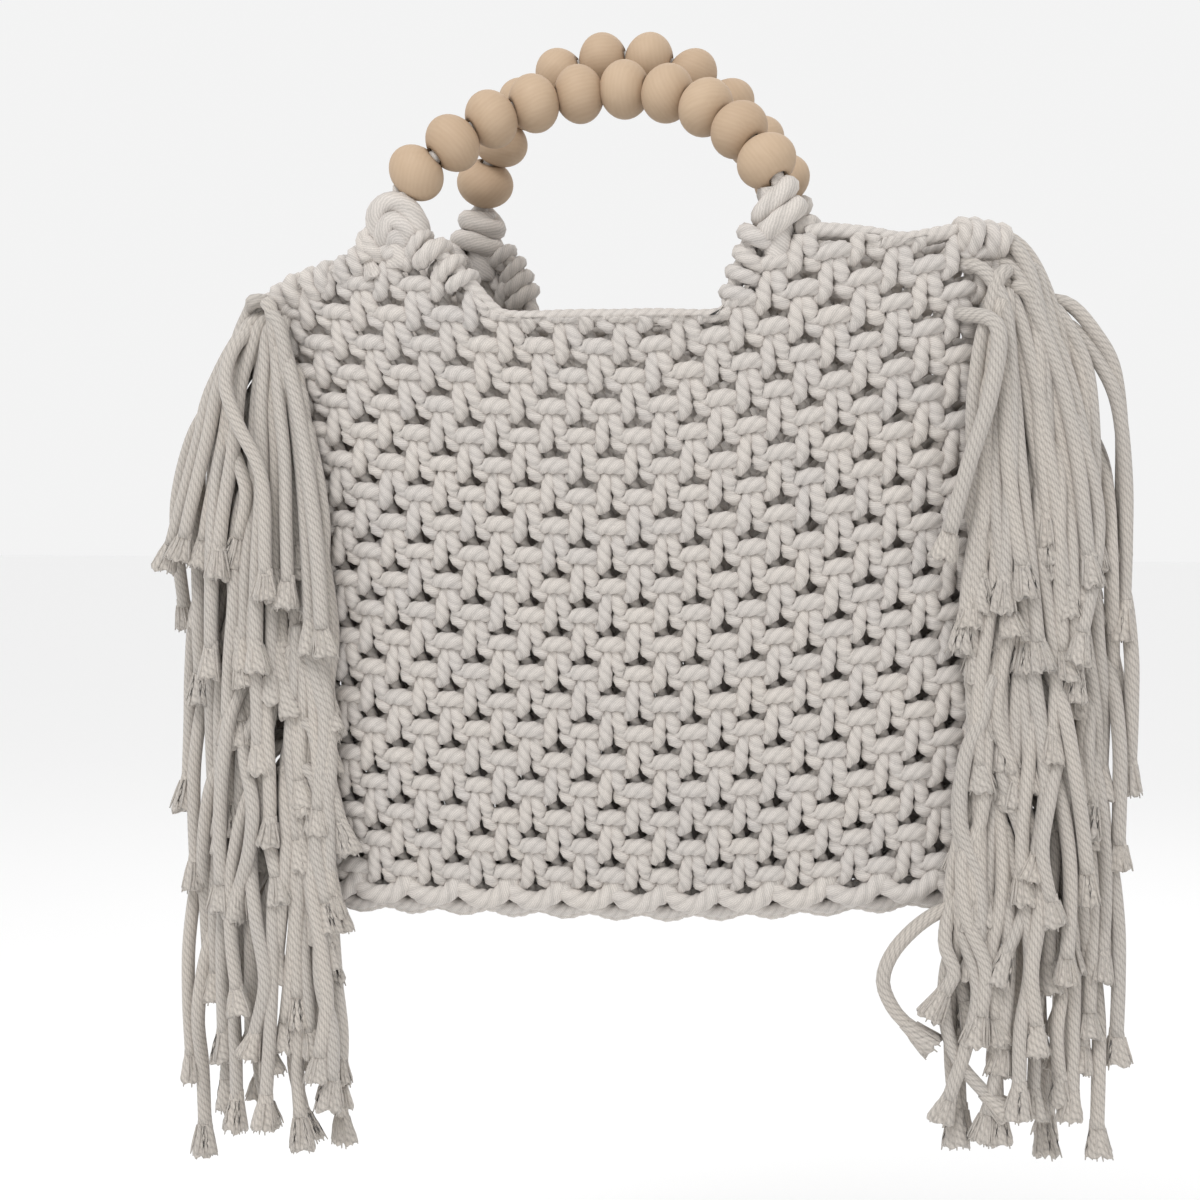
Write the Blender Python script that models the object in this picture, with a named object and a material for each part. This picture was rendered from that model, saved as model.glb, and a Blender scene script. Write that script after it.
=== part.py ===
"""Knotted cord tote bag with bead handles and side fringes, hanging by its handles.

Metres, +Z up. The origin is the point where both handles rest on what holds the bag up.
The front faces -Y, and +X is to the right as one looks at the front.
"""

import math

import bmesh
import bpy
from mathutils import Vector
from mathutils.geometry import delaunay_2d_cdt

# Bag body
BAG_WIDTH = 0.302
BAG_HEIGHT = 0.247
HANG_DROP = 0.098
HANG_OFFSET = 0.021
WALL = 0.010
MOUTH_OPENING = 0.060
MID_SETBACK = 0.009
PEAK_RISE = 0.040
BOTTOM_LIFT = 0.012
ROW_LIFT = 0.028
LEFT_ROW_LIFT = 0.0056
CLEARANCE = 0.0003

# How the soft form curves: powers of the share across the bag or up it
BOTTOM_LIFT_POWER = 1.5
ROW_LIFT_POWER = 1.4
OPENING_ACROSS_POWER = 3.0
OPENING_TAPER = 0.75
OPENING_RISE_POWER = 0.8

# Gaps between the knots
GAP_COLUMNS = 13
GAP_ROWS = 20
GAP_WIDTH = 0.0075
GAP_HEIGHT = 0.0055
GAP_DIMPLE = 0.0014
EDGE_MARGIN = 0.011

# Bottom binding and rim cords
BINDING_DEPTH = 0.010
BINDING_SCALLOPS = 13
BINDING_STEPS = 2
BINDING_WAIST = 0.78
RIM_CORD = 0.006
CORD_SIDES = 8

# Handles
BEAD_DIAMETER = 0.025
BEAD_LENGTH = 0.0193
BEAD_GAP = 0.0006
BEAD_BORE = 0.0084
BEADS_PER_HANDLE = 10
HANDLE_CORD = 0.0062
BASE_KNOT_WIDTH = 0.019
BASE_KNOT_HEIGHT = 0.017
BASE_KNOT_FLATNESS = 0.85
BASE_KNOT_LEAN = 0.10
BASE_KNOT_SIDES = 10
STRING_NECK = 0.004
STRING_STEPS = 24
STRING_SLACK = 0.0007
SOLVER_STEPS = 24
BEAD_SIDES = 12
BEAD_ARC_STEPS = 5

# Fringe
FRINGE_LENGTH = 0.125
FRINGE_REACH = 0.055
FRINGE_DEPTH_SHARE = 0.62
LEAST_OUTWARD_SHARE = 0.25
DRIFT_POWER = 1.3
LOCK_DIAMETER = 0.016
LOCK_SIDES = 6
SEAM_STRIP = 0.005
SEAM_STRIP_DEPTH = 0.018

# Bottom binding's section: y as a share of the wall, then depth below the panels as a share
BINDING_SECTION = (
    (-0.80, 0.00),
    (-1.10, 0.45),
    (-0.75, 1.00),
    (0.00, 1.15),
    (0.75, 1.00),
    (1.10, 0.45),
    (0.80, 0.00),
)

# Base knot's outline: height share, then width share
BASE_KNOT_OUTLINE = (
    (0.00, 0.80),
    (0.15, 1.00),
    (0.42, 1.08),
    (0.60, 0.92),
    (0.72, 1.00),
    (0.90, 0.78),
    (1.00, 0.50),
)

# A lock from the seam to its end: share of its length down, share of its reach out, and
# share of its thickness
LOCK_STAGES = (
    (0.00, 0.00, 0.35),
    (0.05, 0.34, 0.75),
    (0.18, 0.64, 0.97),
    (0.45, 0.90, 1.05),
    (0.80, 1.00, 0.92),
    (1.00, 1.02, 1.10),
)

# Side edges: height share from the bottom edge, then how far the left and the right edge
# lie from the bag's middle line, as shares of half the width
SIDE_EDGES = (
    (0.00, 0.987, 0.947),
    (0.20, 1.000, 0.977),
    (0.53, 1.000, 1.005),
    (0.84, 1.007, 1.009),
    (1.03, 1.093, 1.015),
    (1.10, 1.100, 1.018),
)

# Top edge, left to right: x on the front panel and on the back panel as shares of half the
# width, then height above the mouth's edge as a share of the peaks' rise
LEFT_SHOULDER = (
    (-1.086, -1.086, 0.20),
    (-1.000, -1.000, 0.36),
    (-0.900, -0.880, 0.48),
    (-0.800, -0.720, 0.60),
    (-0.745, -0.610, 0.80),
)
MOUTH = (
    (-0.600, -0.460, 0.80),
    (-0.545, -0.430, 0.66),
    (-0.470, -0.400, 0.38),
    (-0.400, -0.370, 0.09),
    (-0.340, -0.330, 0.00),
    (-0.150, -0.150, 0.00),
    (0.040, 0.040, 0.00),
    (0.225, 0.225, 0.00),
    (0.255, 0.255, 0.20),
    (0.285, 0.285, 0.52),
    (0.310, 0.310, 0.80),
)
RIGHT_SHOULDER = (
    (0.455, 0.455, 0.80),
    (0.500, 0.500, 0.84),
    (0.620, 0.620, 0.80),
    (0.720, 0.720, 0.75),
    (0.860, 0.860, 0.84),
    (0.960, 0.960, 0.78),
    (1.016, 1.016, 0.53),
)

# Bead strings between their two base knots: share of the way across to the right knot, of
# the way in from the panels to the hanging line, and of the way up to the hanging point
FRONT_STRING = (
    (0.069, -0.045, 0.200),
    (0.220, 0.266, 0.658),
    (0.361, 0.562, 0.869),
    (0.515, 0.725, 0.973),
    (0.675, 0.592, 0.937),
    (0.835, 0.317, 0.667),
    (0.959, 0.021, 0.257),
)
BACK_STRING = (
    (0.053, 0.350, 0.471),
    (0.157, 0.488, 0.944),
    (0.294, 0.580, 1.232),
    (0.493, 0.601, 1.351),
    (0.693, 0.559, 1.176),
    (0.829, 0.467, 0.786),
    (0.922, 0.362, 0.387),
)

# Fringe locks: where each leaves the side seam (height share), the way it leaves (degrees
# from straight out, minus to the front), its reach, drift back in and length as shares of
# the fringe's reach and length, and its thickness as a share of the lock's diameter
LEFT_LOCKS = (
    (0.99, -5, 0.80, 0.00, 0.93, 1.05),
    (0.97, -55, 0.70, 0.05, 1.05, 1.00),
    (0.93, -85, 0.62, 0.42, 1.15, 0.90),
    (0.95, 55, 0.65, 0.10, 1.00, 1.00),
    (0.78, -25, 0.85, 0.10, 1.00, 1.05),
    (0.72, -75, 0.65, 0.45, 1.10, 0.95),
    (0.74, 50, 0.65, 0.15, 1.05, 1.00),
    (0.54, -10, 0.90, 0.05, 0.98, 1.05),
    (0.50, -60, 0.72, 0.30, 1.05, 1.00),
    (0.50, 55, 0.65, 0.15, 1.05, 1.00),
    (0.30, -20, 0.92, 0.00, 1.00, 1.05),
    (0.26, -75, 0.65, 0.45, 1.05, 0.95),
    (0.28, 45, 0.65, 0.15, 1.02, 1.00),
    (0.07, -15, 0.78, 0.00, 0.92, 0.95),
    (0.04, -70, 0.60, 0.30, 1.00, 0.95),
    (0.03, 30, 0.55, 0.15, 0.95, 0.95),
)
RIGHT_LOCKS = (
    (0.98, -5, 0.72, 0.05, 0.95, 1.05),
    (0.95, -60, 0.62, 0.10, 1.05, 1.00),
    (0.92, -88, 0.58, 0.60, 0.95, 0.80),
    (0.94, 55, 0.62, 0.10, 1.00, 1.00),
    (0.76, -30, 0.72, 0.10, 1.00, 1.05),
    (0.70, -80, 0.60, 0.40, 1.05, 0.85),
    (0.72, 50, 0.62, 0.15, 1.05, 1.00),
    (0.52, -10, 0.75, 0.05, 0.98, 1.05),
    (0.48, -60, 0.62, 0.15, 1.05, 1.00),
    (0.50, 55, 0.62, 0.15, 1.05, 1.00),
    (0.30, -20, 0.72, 0.05, 1.00, 1.05),
    (0.24, -70, 0.55, 0.10, 1.05, 0.90),
    (0.28, 45, 0.60, 0.15, 1.02, 1.00),
    (0.07, -15, 0.62, 0.05, 0.90, 0.95),
    (0.04, -75, 0.55, 0.70, 0.55, 0.80),
    (0.03, 25, 0.50, 0.15, 0.86, 0.95),
)

HALF_WIDTH = BAG_WIDTH / 2
MOUTH_Z = -HANG_DROP
BOTTOM_Z = MOUTH_Z - BAG_HEIGHT
MID_DEPTH = -MID_SETBACK
BEAD_PITCH = BEAD_LENGTH + BEAD_GAP


def interpolate(rows, at, column):
    """The column's value at this first-column value, on straight lines between rows."""
    if at <= rows[0][0]:
        return rows[0][column]
    for low, high in zip(rows, rows[1:]):
        if at <= high[0]:
            share = (at - low[0]) / (high[0] - low[0])
            return low[column] + share * (high[column] - low[column])
    return rows[-1][column]


def height_share(z):
    return (z - BOTTOM_Z) / BAG_HEIGHT


def side_x(side, z):
    """x of the left (-1) or right (+1) edge of the bag at this height."""
    column = 1 if side < 0 else 2
    return HANG_OFFSET + side * HALF_WIDTH * interpolate(SIDE_EDGES, height_share(z), column)


def across_share(x, z):
    """-1 at the left edge, 0 half way, 1 at the right edge."""
    left, right = side_x(-1, z), side_x(1, z)
    return max(-1.0, min(1.0, (2 * x - left - right) / (right - left)))


def bottom_edge_z(across):
    """The bottom edge hangs level on the left and lifts a little to the right."""
    return BOTTOM_Z + BOTTOM_LIFT * max(0.0, across) ** BOTTOM_LIFT_POWER


def row_line_z(across):
    """The topmost full row of knots, which climbs to the right shoulder."""
    right = ROW_LIFT * max(0.0, across) ** ROW_LIFT_POWER
    left = LEFT_ROW_LIFT * max(0.0, -across) ** 2
    return MOUTH_Z + right + left


def half_opening(x, z):
    """Half the space between the panels: shut at the sides and the bottom, open at the top."""
    spread = max(0.0, 1 - abs(across_share(x, z)) ** OPENING_ACROSS_POWER) ** OPENING_TAPER
    rise = max(0.0, min(1.0, height_share(z))) ** OPENING_RISE_POWER
    return CLEARANCE / 2 + MOUTH_OPENING / 2 * spread * rise


def wall_y(face, x, z, through):
    """y inside the front (-1) or back (+1) panel: through is 0 at its inner face, 1 outside."""
    return MID_DEPTH + face * (half_opening(x, z) + through * WALL)


def top_row(face, row):
    """(x, z) of one row of a top-edge table on the front or back panel."""
    x = HANG_OFFSET + HALF_WIDTH * row[0 if face < 0 else 1]
    return x, MOUTH_Z + PEAK_RISE * row[2]


def lattice_point(column, row):
    """(x, z) of a place in the knot lattice: columns and rows may be halves."""
    across = 2 * column / GAP_COLUMNS - 1
    low, high = bottom_edge_z(across), row_line_z(across)
    z = low + (high - low) * row / GAP_ROWS
    left, right = side_x(-1, z), side_x(1, z)
    return left + (right - left) * column / GAP_COLUMNS, z


def gap_centres():
    """Every second gap of every second row: the coarse net that is cut through."""
    centres = []
    for row in range(2, GAP_ROWS - 1, 2):
        shift = 1.0 if (row // 2) % 2 else 0.0
        column = 1.5 + shift
        while column < GAP_COLUMNS - 1:
            centres.append(lattice_point(column, row))
            column += 2
    return centres


def panel_outline(face):
    """(x, z) points round a panel, anticlockwise seen from the front."""
    bottom = []
    for step in range(GAP_COLUMNS + 1):
        across = 2 * step / GAP_COLUMNS - 1
        z = bottom_edge_z(across)
        left, right = side_x(-1, z), side_x(1, z)
        bottom.append((left + (right - left) * step / GAP_COLUMNS, z))
    right = [(side_x(1, z), z) for z in seam_heights(1, face)]
    left = [(side_x(-1, z), z) for z in seam_heights(-1, face)]
    top = [top_row(face, row) for row in LEFT_SHOULDER + MOUTH + RIGHT_SHOULDER]
    return bottom + right[1:-1] + top[::-1] + left[1:-1][::-1]


def seam_heights(side, face=-1):
    """Heights from a bottom corner up to the shoulder's corner, evenly spaced."""
    low = bottom_edge_z(side)
    high = top_row(face, RIGHT_SHOULDER[-1] if side > 0 else LEFT_SHOULDER[0])[1]
    steps = GAP_ROWS // 2
    return [low + (high - low) * step / steps for step in range(steps + 1)]


def inside(point, outline):
    """Whether the point lies inside the closed outline."""
    x, z = point
    found = False
    for (x0, z0), (x1, z1) in zip(outline, outline[1:] + outline[:1]):
        if (z0 > z) != (z1 > z) and x < (x1 - x0) * (z - z0) / (z1 - z0) + x0:
            found = not found
    return found


def distance_to(point, outline):
    """The least distance from the point to the closed outline."""
    least = math.inf
    here = Vector(point)
    for start, end in zip(outline, outline[1:] + outline[:1]):
        a, b = Vector(start), Vector(end)
        along = b - a
        share = max(0.0, min(1.0, (here - a).dot(along) / max(along.length_squared, 1e-12)))
        least = min(least, (here - a - share * along).length)
    return least


def material(name, colour, roughness):
    made = bpy.data.materials.new(name)
    made.use_nodes = True
    shader = made.node_tree.nodes["Principled BSDF"]
    shader.inputs["Base Color"].default_value = (*colour, 1)
    shader.inputs["Roughness"].default_value = roughness
    shader.inputs["Metallic"].default_value = 0
    made.diffuse_color = (*colour, 1)
    return made


def add_object(name, points, faces, finish, sharp_angle=40):
    """A named mesh object, shaded smooth except along its sharp edges."""
    mesh = bpy.data.meshes.new(name)
    mesh.from_pydata([tuple(p) for p in points], [], faces)
    mesh.validate()
    made = bpy.data.objects.new(name, mesh)
    bpy.context.scene.collection.objects.link(made)
    made.data.materials.append(finish)
    mesh.shade_smooth()
    mesh.set_sharp_from_angle(angle=math.radians(sharp_angle))
    return made


def ring_frames(path):
    """A tangent and two cross directions at each point, turned as little as possible."""
    tangents = []
    for index in range(len(path)):
        before, after = path[max(index - 1, 0)], path[min(index + 1, len(path) - 1)]
        tangents.append((after - before).normalized())
    side = tangents[0].cross(Vector((0, 1, 0)))
    if side.length < 0.2:
        side = tangents[0].cross(Vector((1, 0, 0)))
    side.normalize()
    frames = []
    for tangent in tangents:
        side = (side - side.dot(tangent) * tangent).normalized()
        frames.append((tangent, side, tangent.cross(side)))
    return frames


def tube(path, radii, sides):
    """Points and faces of a closed tube along a path, with flat ends."""
    path = [Vector(p) for p in path]
    points, faces = [], []
    for centre, radius, (_, across, up) in zip(path, radii, ring_frames(path)):
        for step in range(sides):
            turn = 2 * math.pi * step / sides
            points.append(centre + radius * (math.cos(turn) * across + math.sin(turn) * up))
    for ring in range(len(path) - 1):
        for step in range(sides):
            following = (step + 1) % sides
            low, high = ring * sides, (ring + 1) * sides
            faces.append((low + step, low + following, high + following, high + step))
    faces.append(tuple(reversed(range(sides))))
    faces.append(tuple(range((len(path) - 1) * sides, len(path) * sides)))
    return points, faces


def smooth_curve(points, steps):
    """Points on a Catmull-Rom curve through the given ones, with steps in each stretch."""
    given = [Vector(p) for p in points]
    given = [2 * given[0] - given[1]] + given + [2 * given[-1] - given[-2]]
    curve = []
    for p0, p1, p2, p3 in zip(given, given[1:], given[2:], given[3:]):
        for step in range(steps):
            t = step / steps
            curve.append(
                0.5 * (2 * p1 + (p2 - p0) * t + (2 * p0 - 5 * p1 + 4 * p2 - p3) * t * t
                       + (3 * p1 - p0 - 3 * p2 + p3) * t ** 3)
            )
    curve.append(given[-2])
    return curve


def along_curve(curve, distance):
    """The point and the direction at this distance along a curve."""
    for a, b in zip(curve, curve[1:]):
        step = (b - a).length
        if distance <= step:
            return a + (b - a) * distance / step, (b - a).normalized()
        distance -= step
    return curve[-1], (curve[-1] - curve[-2]).normalized()


def add_panel(name, face, finish):
    """A knotted wall: an outline with diamond gaps, bent to its depth and given its thickness."""
    outline = panel_outline(face)
    flat = list(outline)
    edges = [(i, (i + 1) % len(outline)) for i in range(len(outline))]
    diamonds = []
    half_width, half_height = GAP_WIDTH / 2, GAP_HEIGHT / 2
    for x, z in gap_centres():
        if not inside((x, z), outline) or distance_to((x, z), outline) < EDGE_MARGIN:
            continue
        corners = [
            (x - half_width, z),
            (x, z - half_height),
            (x + half_width, z),
            (x, z + half_height),
        ]
        first = len(flat)
        flat += corners
        edges += [(first + i, first + (i + 1) % 4) for i in range(4)]
        diamonds.append(corners)
    in_gap_from = len(outline)
    in_gap_to = len(flat)
    for row in range(1, GAP_ROWS + 2, 2):
        for column in range(1, GAP_COLUMNS):
            point = lattice_point(column + (0.5 if row % 4 == 1 else 0.0), row)
            if inside(point, outline) and distance_to(point, outline) > EDGE_MARGIN / 2:
                flat.append(point)
    placed, _, triangles, sources, _, _ = delaunay_2d_cdt(
        [Vector(p) for p in flat], edges, [], 0, 1e-7
    )
    kept = []
    for a, b, c in triangles:
        middle = (placed[a] + placed[b] + placed[c]) / 3
        if inside(middle, outline) and not any(inside(middle, gap) for gap in diamonds):
            turned = (placed[b] - placed[a]).cross(placed[c] - placed[a]) < 0
            kept.append((a, c, b) if turned else (a, b, c))
    count = len(placed)
    points = []
    for through, sign in ((1, -1), (0, 1)):
        for index, place in enumerate(placed):
            drawn_in = any(in_gap_from <= source < in_gap_to for source in sources[index])
            dent = sign * GAP_DIMPLE if drawn_in else 0.0
            x, z = place
            points.append((x, wall_y(face, x, z, through) + face * dent, z))
    faces = []
    border = {(a, b) for t in kept for a, b in zip(t, t[1:] + t[:1])}
    for a, b, c in kept:
        faces.append((a, b, c))
        faces.append((c + count, b + count, a + count))
    for a, b in border:
        if (b, a) not in border:
            faces.append((b, a, a + count, b + count))
    if face > 0:
        faces = [tuple(reversed(f)) for f in faces]
    used = sorted({i for f in faces for i in f})
    number = {old: new for new, old in enumerate(used)}
    return add_object(
        name, [points[i] for i in used], [tuple(number[i] for i in f) for f in faces], finish
    )


def add_bottom_binding(finish):
    """The bulky row of knots that closes both panels along the bottom edge."""
    steps = BINDING_SCALLOPS * BINDING_STEPS
    points, faces = [], []
    for step in range(steps + 1):
        column = GAP_COLUMNS * step / steps
        across = 2 * column / GAP_COLUMNS - 1
        top = bottom_edge_z(across)
        left, right = side_x(-1, top), side_x(1, top)
        x = left + (right - left) * step / steps
        bulge = abs(math.sin(math.pi * BINDING_SCALLOPS * step / steps))
        full = BINDING_WAIST + (1 - BINDING_WAIST) * bulge
        for y_share, depth_share in BINDING_SECTION:
            y = MID_DEPTH + y_share * WALL * (full if depth_share else 1)
            depth = CLEARANCE + BINDING_DEPTH * depth_share * full
            points.append((x, y, bottom_line_z(column) - depth))
    across_count = len(BINDING_SECTION)
    for ring in range(steps):
        for step in range(across_count):
            following = (step + 1) % across_count
            low, high = ring * across_count, (ring + 1) * across_count
            faces.append((low + step, low + following, high + following, high + step))
    faces.append(tuple(reversed(range(across_count))))
    faces.append(tuple(range(steps * across_count, (steps + 1) * across_count)))
    return add_object("bottom_binding", points, faces, finish, 60)


def bottom_line_z(column):
    """The panels' straight-sided bottom edge at this column, which may be a fraction."""
    low = int(min(column, GAP_COLUMNS - 1))
    z0 = bottom_edge_z(2 * low / GAP_COLUMNS - 1)
    z1 = bottom_edge_z(2 * (low + 1) / GAP_COLUMNS - 1)
    return z0 + (z1 - z0) * (column - low)


def add_rim_cord(name, face, rows, finish):
    """A cord laid along a stretch of a panel's top edge."""
    edge = [Vector(top_row(face, row)) for row in rows]
    path = []
    for index, here in enumerate(edge):
        before, after = edge[max(index - 1, 0)], edge[min(index + 1, len(edge) - 1)]
        along = (after - before).normalized()
        upward = Vector((-along.y, along.x))
        bend = 1.0
        if 0 < index < len(edge) - 1:
            from_before = Vector((-(here - before).y, (here - before).x)).normalized()
            bend = 1 / max(0.5, upward.dot(from_before))
        raised = here + upward * (CLEARANCE + RIM_CORD / 2) * bend
        path.append((raised.x, wall_y(face, here.x, here.y, 0.5), raised.y))
    points, faces = tube(path, [RIM_CORD / 2] * len(path), CORD_SIDES)
    return add_object(name, points, faces, finish)


def peak_top(face, rows_before, rows_after):
    """The middle of a peak's flat top, where a base knot sits."""
    x0, z0 = top_row(face, rows_before[-1])
    x1, z1 = top_row(face, rows_after[0])
    x, z = (x0 + x1) / 2, (z0 + z1) / 2
    return Vector((x, wall_y(face, x, z, 0.5), z + CLEARANCE))


def string_curve(face, chosen):
    """The bead string between its base knots, arched until it just holds its beads."""
    neck = Vector((0, 0, BASE_KNOT_HEIGHT + CLEARANCE + STRING_NECK))
    start = peak_top(face, LEFT_SHOULDER, MOUTH) + neck
    end = peak_top(face, MOUTH, RIGHT_SHOULDER) + neck
    low, high = 0.25, 4.0
    for _ in range(SOLVER_STEPS):
        lift = (low + high) / 2
        points = [start]
        for across, lean, rise in chosen:
            x = start.x + (end.x - start.x) * across
            points.append(Vector((x, start.y * (1 - lean), start.z * (1 - rise * lift))))
        curve = smooth_curve([*points, end], STRING_STEPS)
        joints, spare = string_joints(curve, BEAD_PITCH)
        if (len(joints) - 1, spare) < (BEADS_PER_HANDLE, STRING_SLACK):
            low = lift
        else:
            high = lift
    return curve


def add_base_knot(name, foot, towards, finish):
    """The wrapped knot that ends a bead string: flat where it sits on the panel's peak."""
    top = foot + Vector((0, 0, BASE_KNOT_HEIGHT))
    lean = Vector((towards.x, towards.y, 0)) * BASE_KNOT_HEIGHT * BASE_KNOT_LEAN
    points, faces = [], []
    sides = BASE_KNOT_SIDES
    for height, wide in BASE_KNOT_OUTLINE:
        centre = foot.lerp(top, height) + lean * math.sin(math.pi * height)
        for step in range(sides):
            turn = 2 * math.pi * step / sides
            reach = BASE_KNOT_WIDTH / 2 * wide
            out = Vector((math.cos(turn), BASE_KNOT_FLATNESS * math.sin(turn), 0))
            points.append(centre + out * reach)
    rings = len(BASE_KNOT_OUTLINE)
    for ring in range(rings - 1):
        for step in range(sides):
            following = (step + 1) % sides
            low, high = ring * sides, (ring + 1) * sides
            faces.append((low + step, low + following, high + following, high + step))
    faces.append(tuple(reversed(range(sides))))
    faces.append(tuple(range((rings - 1) * sides, rings * sides)))
    return add_object(name, points, faces, finish)


def string_joints(curve, pitch):
    """Points on the string a straight pitch apart, as many as fit, and the length they leave."""
    joints = [curve[0]]
    for a, b in zip(curve, curve[1:]):
        while (b - joints[-1]).length >= pitch:
            low, high = 0.0, 1.0
            for _ in range(30):
                middle = (low + high) / 2
                if (a.lerp(b, middle) - joints[-1]).length < pitch:
                    low = middle
                else:
                    high = middle
            joints.append(a.lerp(b, high))
    return joints, (curve[-1] - joints[-1]).length


def add_beads(prefix, curve, finish):
    """The string's beads, side by side and centred on it. Gives the path of its cord."""
    _, spare = string_joints(curve, BEAD_PITCH)
    start, _ = along_curve(curve, spare / 2)
    cut = [start] + [p for p in curve if (p - curve[0]).length > spare / 2 + 1e-6]
    joints, _ = string_joints(cut, BEAD_PITCH)
    points, faces = bead_form()
    mesh = bpy.data.meshes.new(prefix + "_bead")
    mesh.from_pydata(points, [], faces)
    mesh.materials.append(finish)
    mesh.shade_smooth()
    mesh.set_sharp_from_angle(angle=math.radians(50))
    for index, (entry, leave) in enumerate(zip(joints, joints[1:])):
        bead = bpy.data.objects.new(f"{prefix}_bead_{index + 1:02d}", mesh)
        bpy.context.scene.collection.objects.link(bead)
        bead.location = (entry + leave) / 2
        bead.rotation_mode = "QUATERNION"
        bead.rotation_quaternion = (leave - entry).to_track_quat("Z", "Y")
    neck = Vector((0, 0, STRING_NECK))
    return [curve[0] - neck, *joints, curve[-1] - neck]


def bead_form():
    """Points and faces of one drilled bead along its own Z axis, turned from its outline."""
    sides, arc_steps = BEAD_SIDES, BEAD_ARC_STEPS
    bore, radius, half = BEAD_BORE / 2, BEAD_DIAMETER / 2, BEAD_LENGTH / 2
    lowest = math.asin(bore / radius)
    outline = []
    for step in range(arc_steps + 1):
        turn = lowest + (math.pi - 2 * lowest) * step / arc_steps
        outline.append((radius * math.sin(turn), -half * math.cos(turn)))
    points, faces = [], []
    for reach, height in outline:
        for step in range(sides):
            turn = 2 * math.pi * step / sides
            points.append((reach * math.cos(turn), reach * math.sin(turn), height))
    rings = len(outline)
    for ring in range(rings):
        for step in range(sides):
            following = (step + 1) % sides
            low, high = ring * sides, (ring + 1) % rings * sides
            faces.append((low + step, low + following, high + following, high + step))
    return points, faces


def clear_of_wall(x, y, z, radius):
    """y moved out until a lock of this radius passes clear in front of or behind the bag."""
    face = -1 if y < MID_DEPTH else 1
    nearest = max(side_x(-1, z), min(side_x(1, z), x))
    if abs(nearest - x) > radius + CLEARANCE or z < BOTTOM_Z - BINDING_DEPTH * 2:
        return y
    outside = wall_y(face, nearest, z, 1) + face * (radius + 4 * CLEARANCE)
    return min(y, outside) if face < 0 else max(y, outside)


def lock_path(side, start, fan, reach, drift, length, thick):
    """Points and radii of one lock: out of the side seam, over, and down."""
    heights = seam_heights(side)
    z0 = heights[0] + (heights[-1] - heights[0]) * start
    x0 = side_x(side, z0) + side * (CLEARANCE + SEAM_STRIP * 0.5)
    out, turn = FRINGE_REACH * reach, math.radians(fan)
    radius = LOCK_DIAMETER / 2 * thick
    long = FRINGE_LENGTH * length
    path, radii = [], []
    for down, over, full in LOCK_STAGES:
        x = x0 + side * out * over * max(math.cos(turn), LEAST_OUTWARD_SHARE)
        x -= side * drift * FRINGE_REACH * down ** DRIFT_POWER
        y = MID_DEPTH + out * over * math.sin(turn) * FRINGE_DEPTH_SHARE
        z = z0 - long * down
        if over:
            y = clear_of_wall(x, y, z, radius * full)
        path.append((x, y, z))
        radii.append(radius * full)
    return path, radii


def seam_strip(side):
    """Points and faces of the backing that lies along a side seam."""
    heights = seam_heights(side)
    points, faces = [], []
    for z in heights:
        edge = side_x(side, z)
        near, far = edge + side * CLEARANCE, edge + side * (CLEARANCE + SEAM_STRIP)
        low, high = MID_DEPTH - SEAM_STRIP_DEPTH / 2, MID_DEPTH + SEAM_STRIP_DEPTH / 2
        points += [(near, low, z), (far, low, z), (far, high, z), (near, high, z)]
    for ring in range(len(heights) - 1):
        for step in range(4):
            following = (step + 1) % 4
            low, high = ring * 4, (ring + 1) * 4
            faces.append((low + step, low + following, high + following, high + step))
    faces.append((3, 2, 1, 0))
    top = (len(heights) - 1) * 4
    faces.append((top, top + 1, top + 2, top + 3))
    if side < 0:
        faces = [tuple(reversed(f)) for f in faces]
    return points, faces


def add_fringe(name, side, locks, finish):
    """Layered locks of cord ends, fused to the backing along one side seam."""
    points, faces = seam_strip(side)
    fringe = add_object(name, points, faces, finish, 60)
    for index, row in enumerate(locks):
        path, radii = lock_path(side, *row)
        lock = add_object(f"{name}_lock_{index + 1:02d}", *tube(path, radii, LOCK_SIDES), finish, 60)
        lock.hide_render = True
        lock.display_type = "WIRE"
        union = fringe.modifiers.new(lock.name, "BOOLEAN")
        union.operation = "UNION"
        union.object = lock
    return fringe


def main():
    """Clears the scene and builds every part of the bag."""
    for old in list(bpy.data.objects):
        bpy.data.objects.remove(old, do_unlink=True)
    cord = material("knotted_cord", (0.60, 0.56, 0.50), 0.9)
    fringe_cord = material("fringe_cord", (0.62, 0.58, 0.52), 0.92)
    wood = material("raw_wood", (0.58, 0.43, 0.29), 0.6)
    add_panel("front_panel", -1, cord)
    add_panel("back_panel", 1, cord)
    add_bottom_binding(cord)
    for label, face, chosen in (("front", -1, FRONT_STRING), ("back", 1, BACK_STRING)):
        add_rim_cord(label + "_mouth_rim", face, MOUTH[2:-1], cord)
        add_rim_cord(label + "_left_shoulder_rim", face, LEFT_SHOULDER[:-1], cord)
        add_rim_cord(label + "_right_shoulder_rim", face, RIGHT_SHOULDER[1:], cord)
        curve = string_curve(face, chosen)
        path = add_beads(label + "_handle", curve, wood)
        points, faces = tube(path, [HANDLE_CORD / 2] * len(path), CORD_SIDES)
        add_object(label + "_handle_cord", points, faces, cord)
        left = peak_top(face, LEFT_SHOULDER, MOUTH)
        right = peak_top(face, MOUTH, RIGHT_SHOULDER)
        add_base_knot(label + "_left_base_knot", left, (curve[4] - curve[0]).normalized(), cord)
        add_base_knot(label + "_right_base_knot", right, (curve[-5] - curve[-1]).normalized(), cord)
    add_fringe("left_fringe", -1, LEFT_LOCKS, fringe_cord)
    add_fringe("right_fringe", 1, RIGHT_LOCKS, fringe_cord)


main()
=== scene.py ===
"""The looks of a knotted cord tote bag with wooden bead handles and side fringes.

Metres, +Z up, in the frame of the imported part. The front faces -Y.
"""

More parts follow.
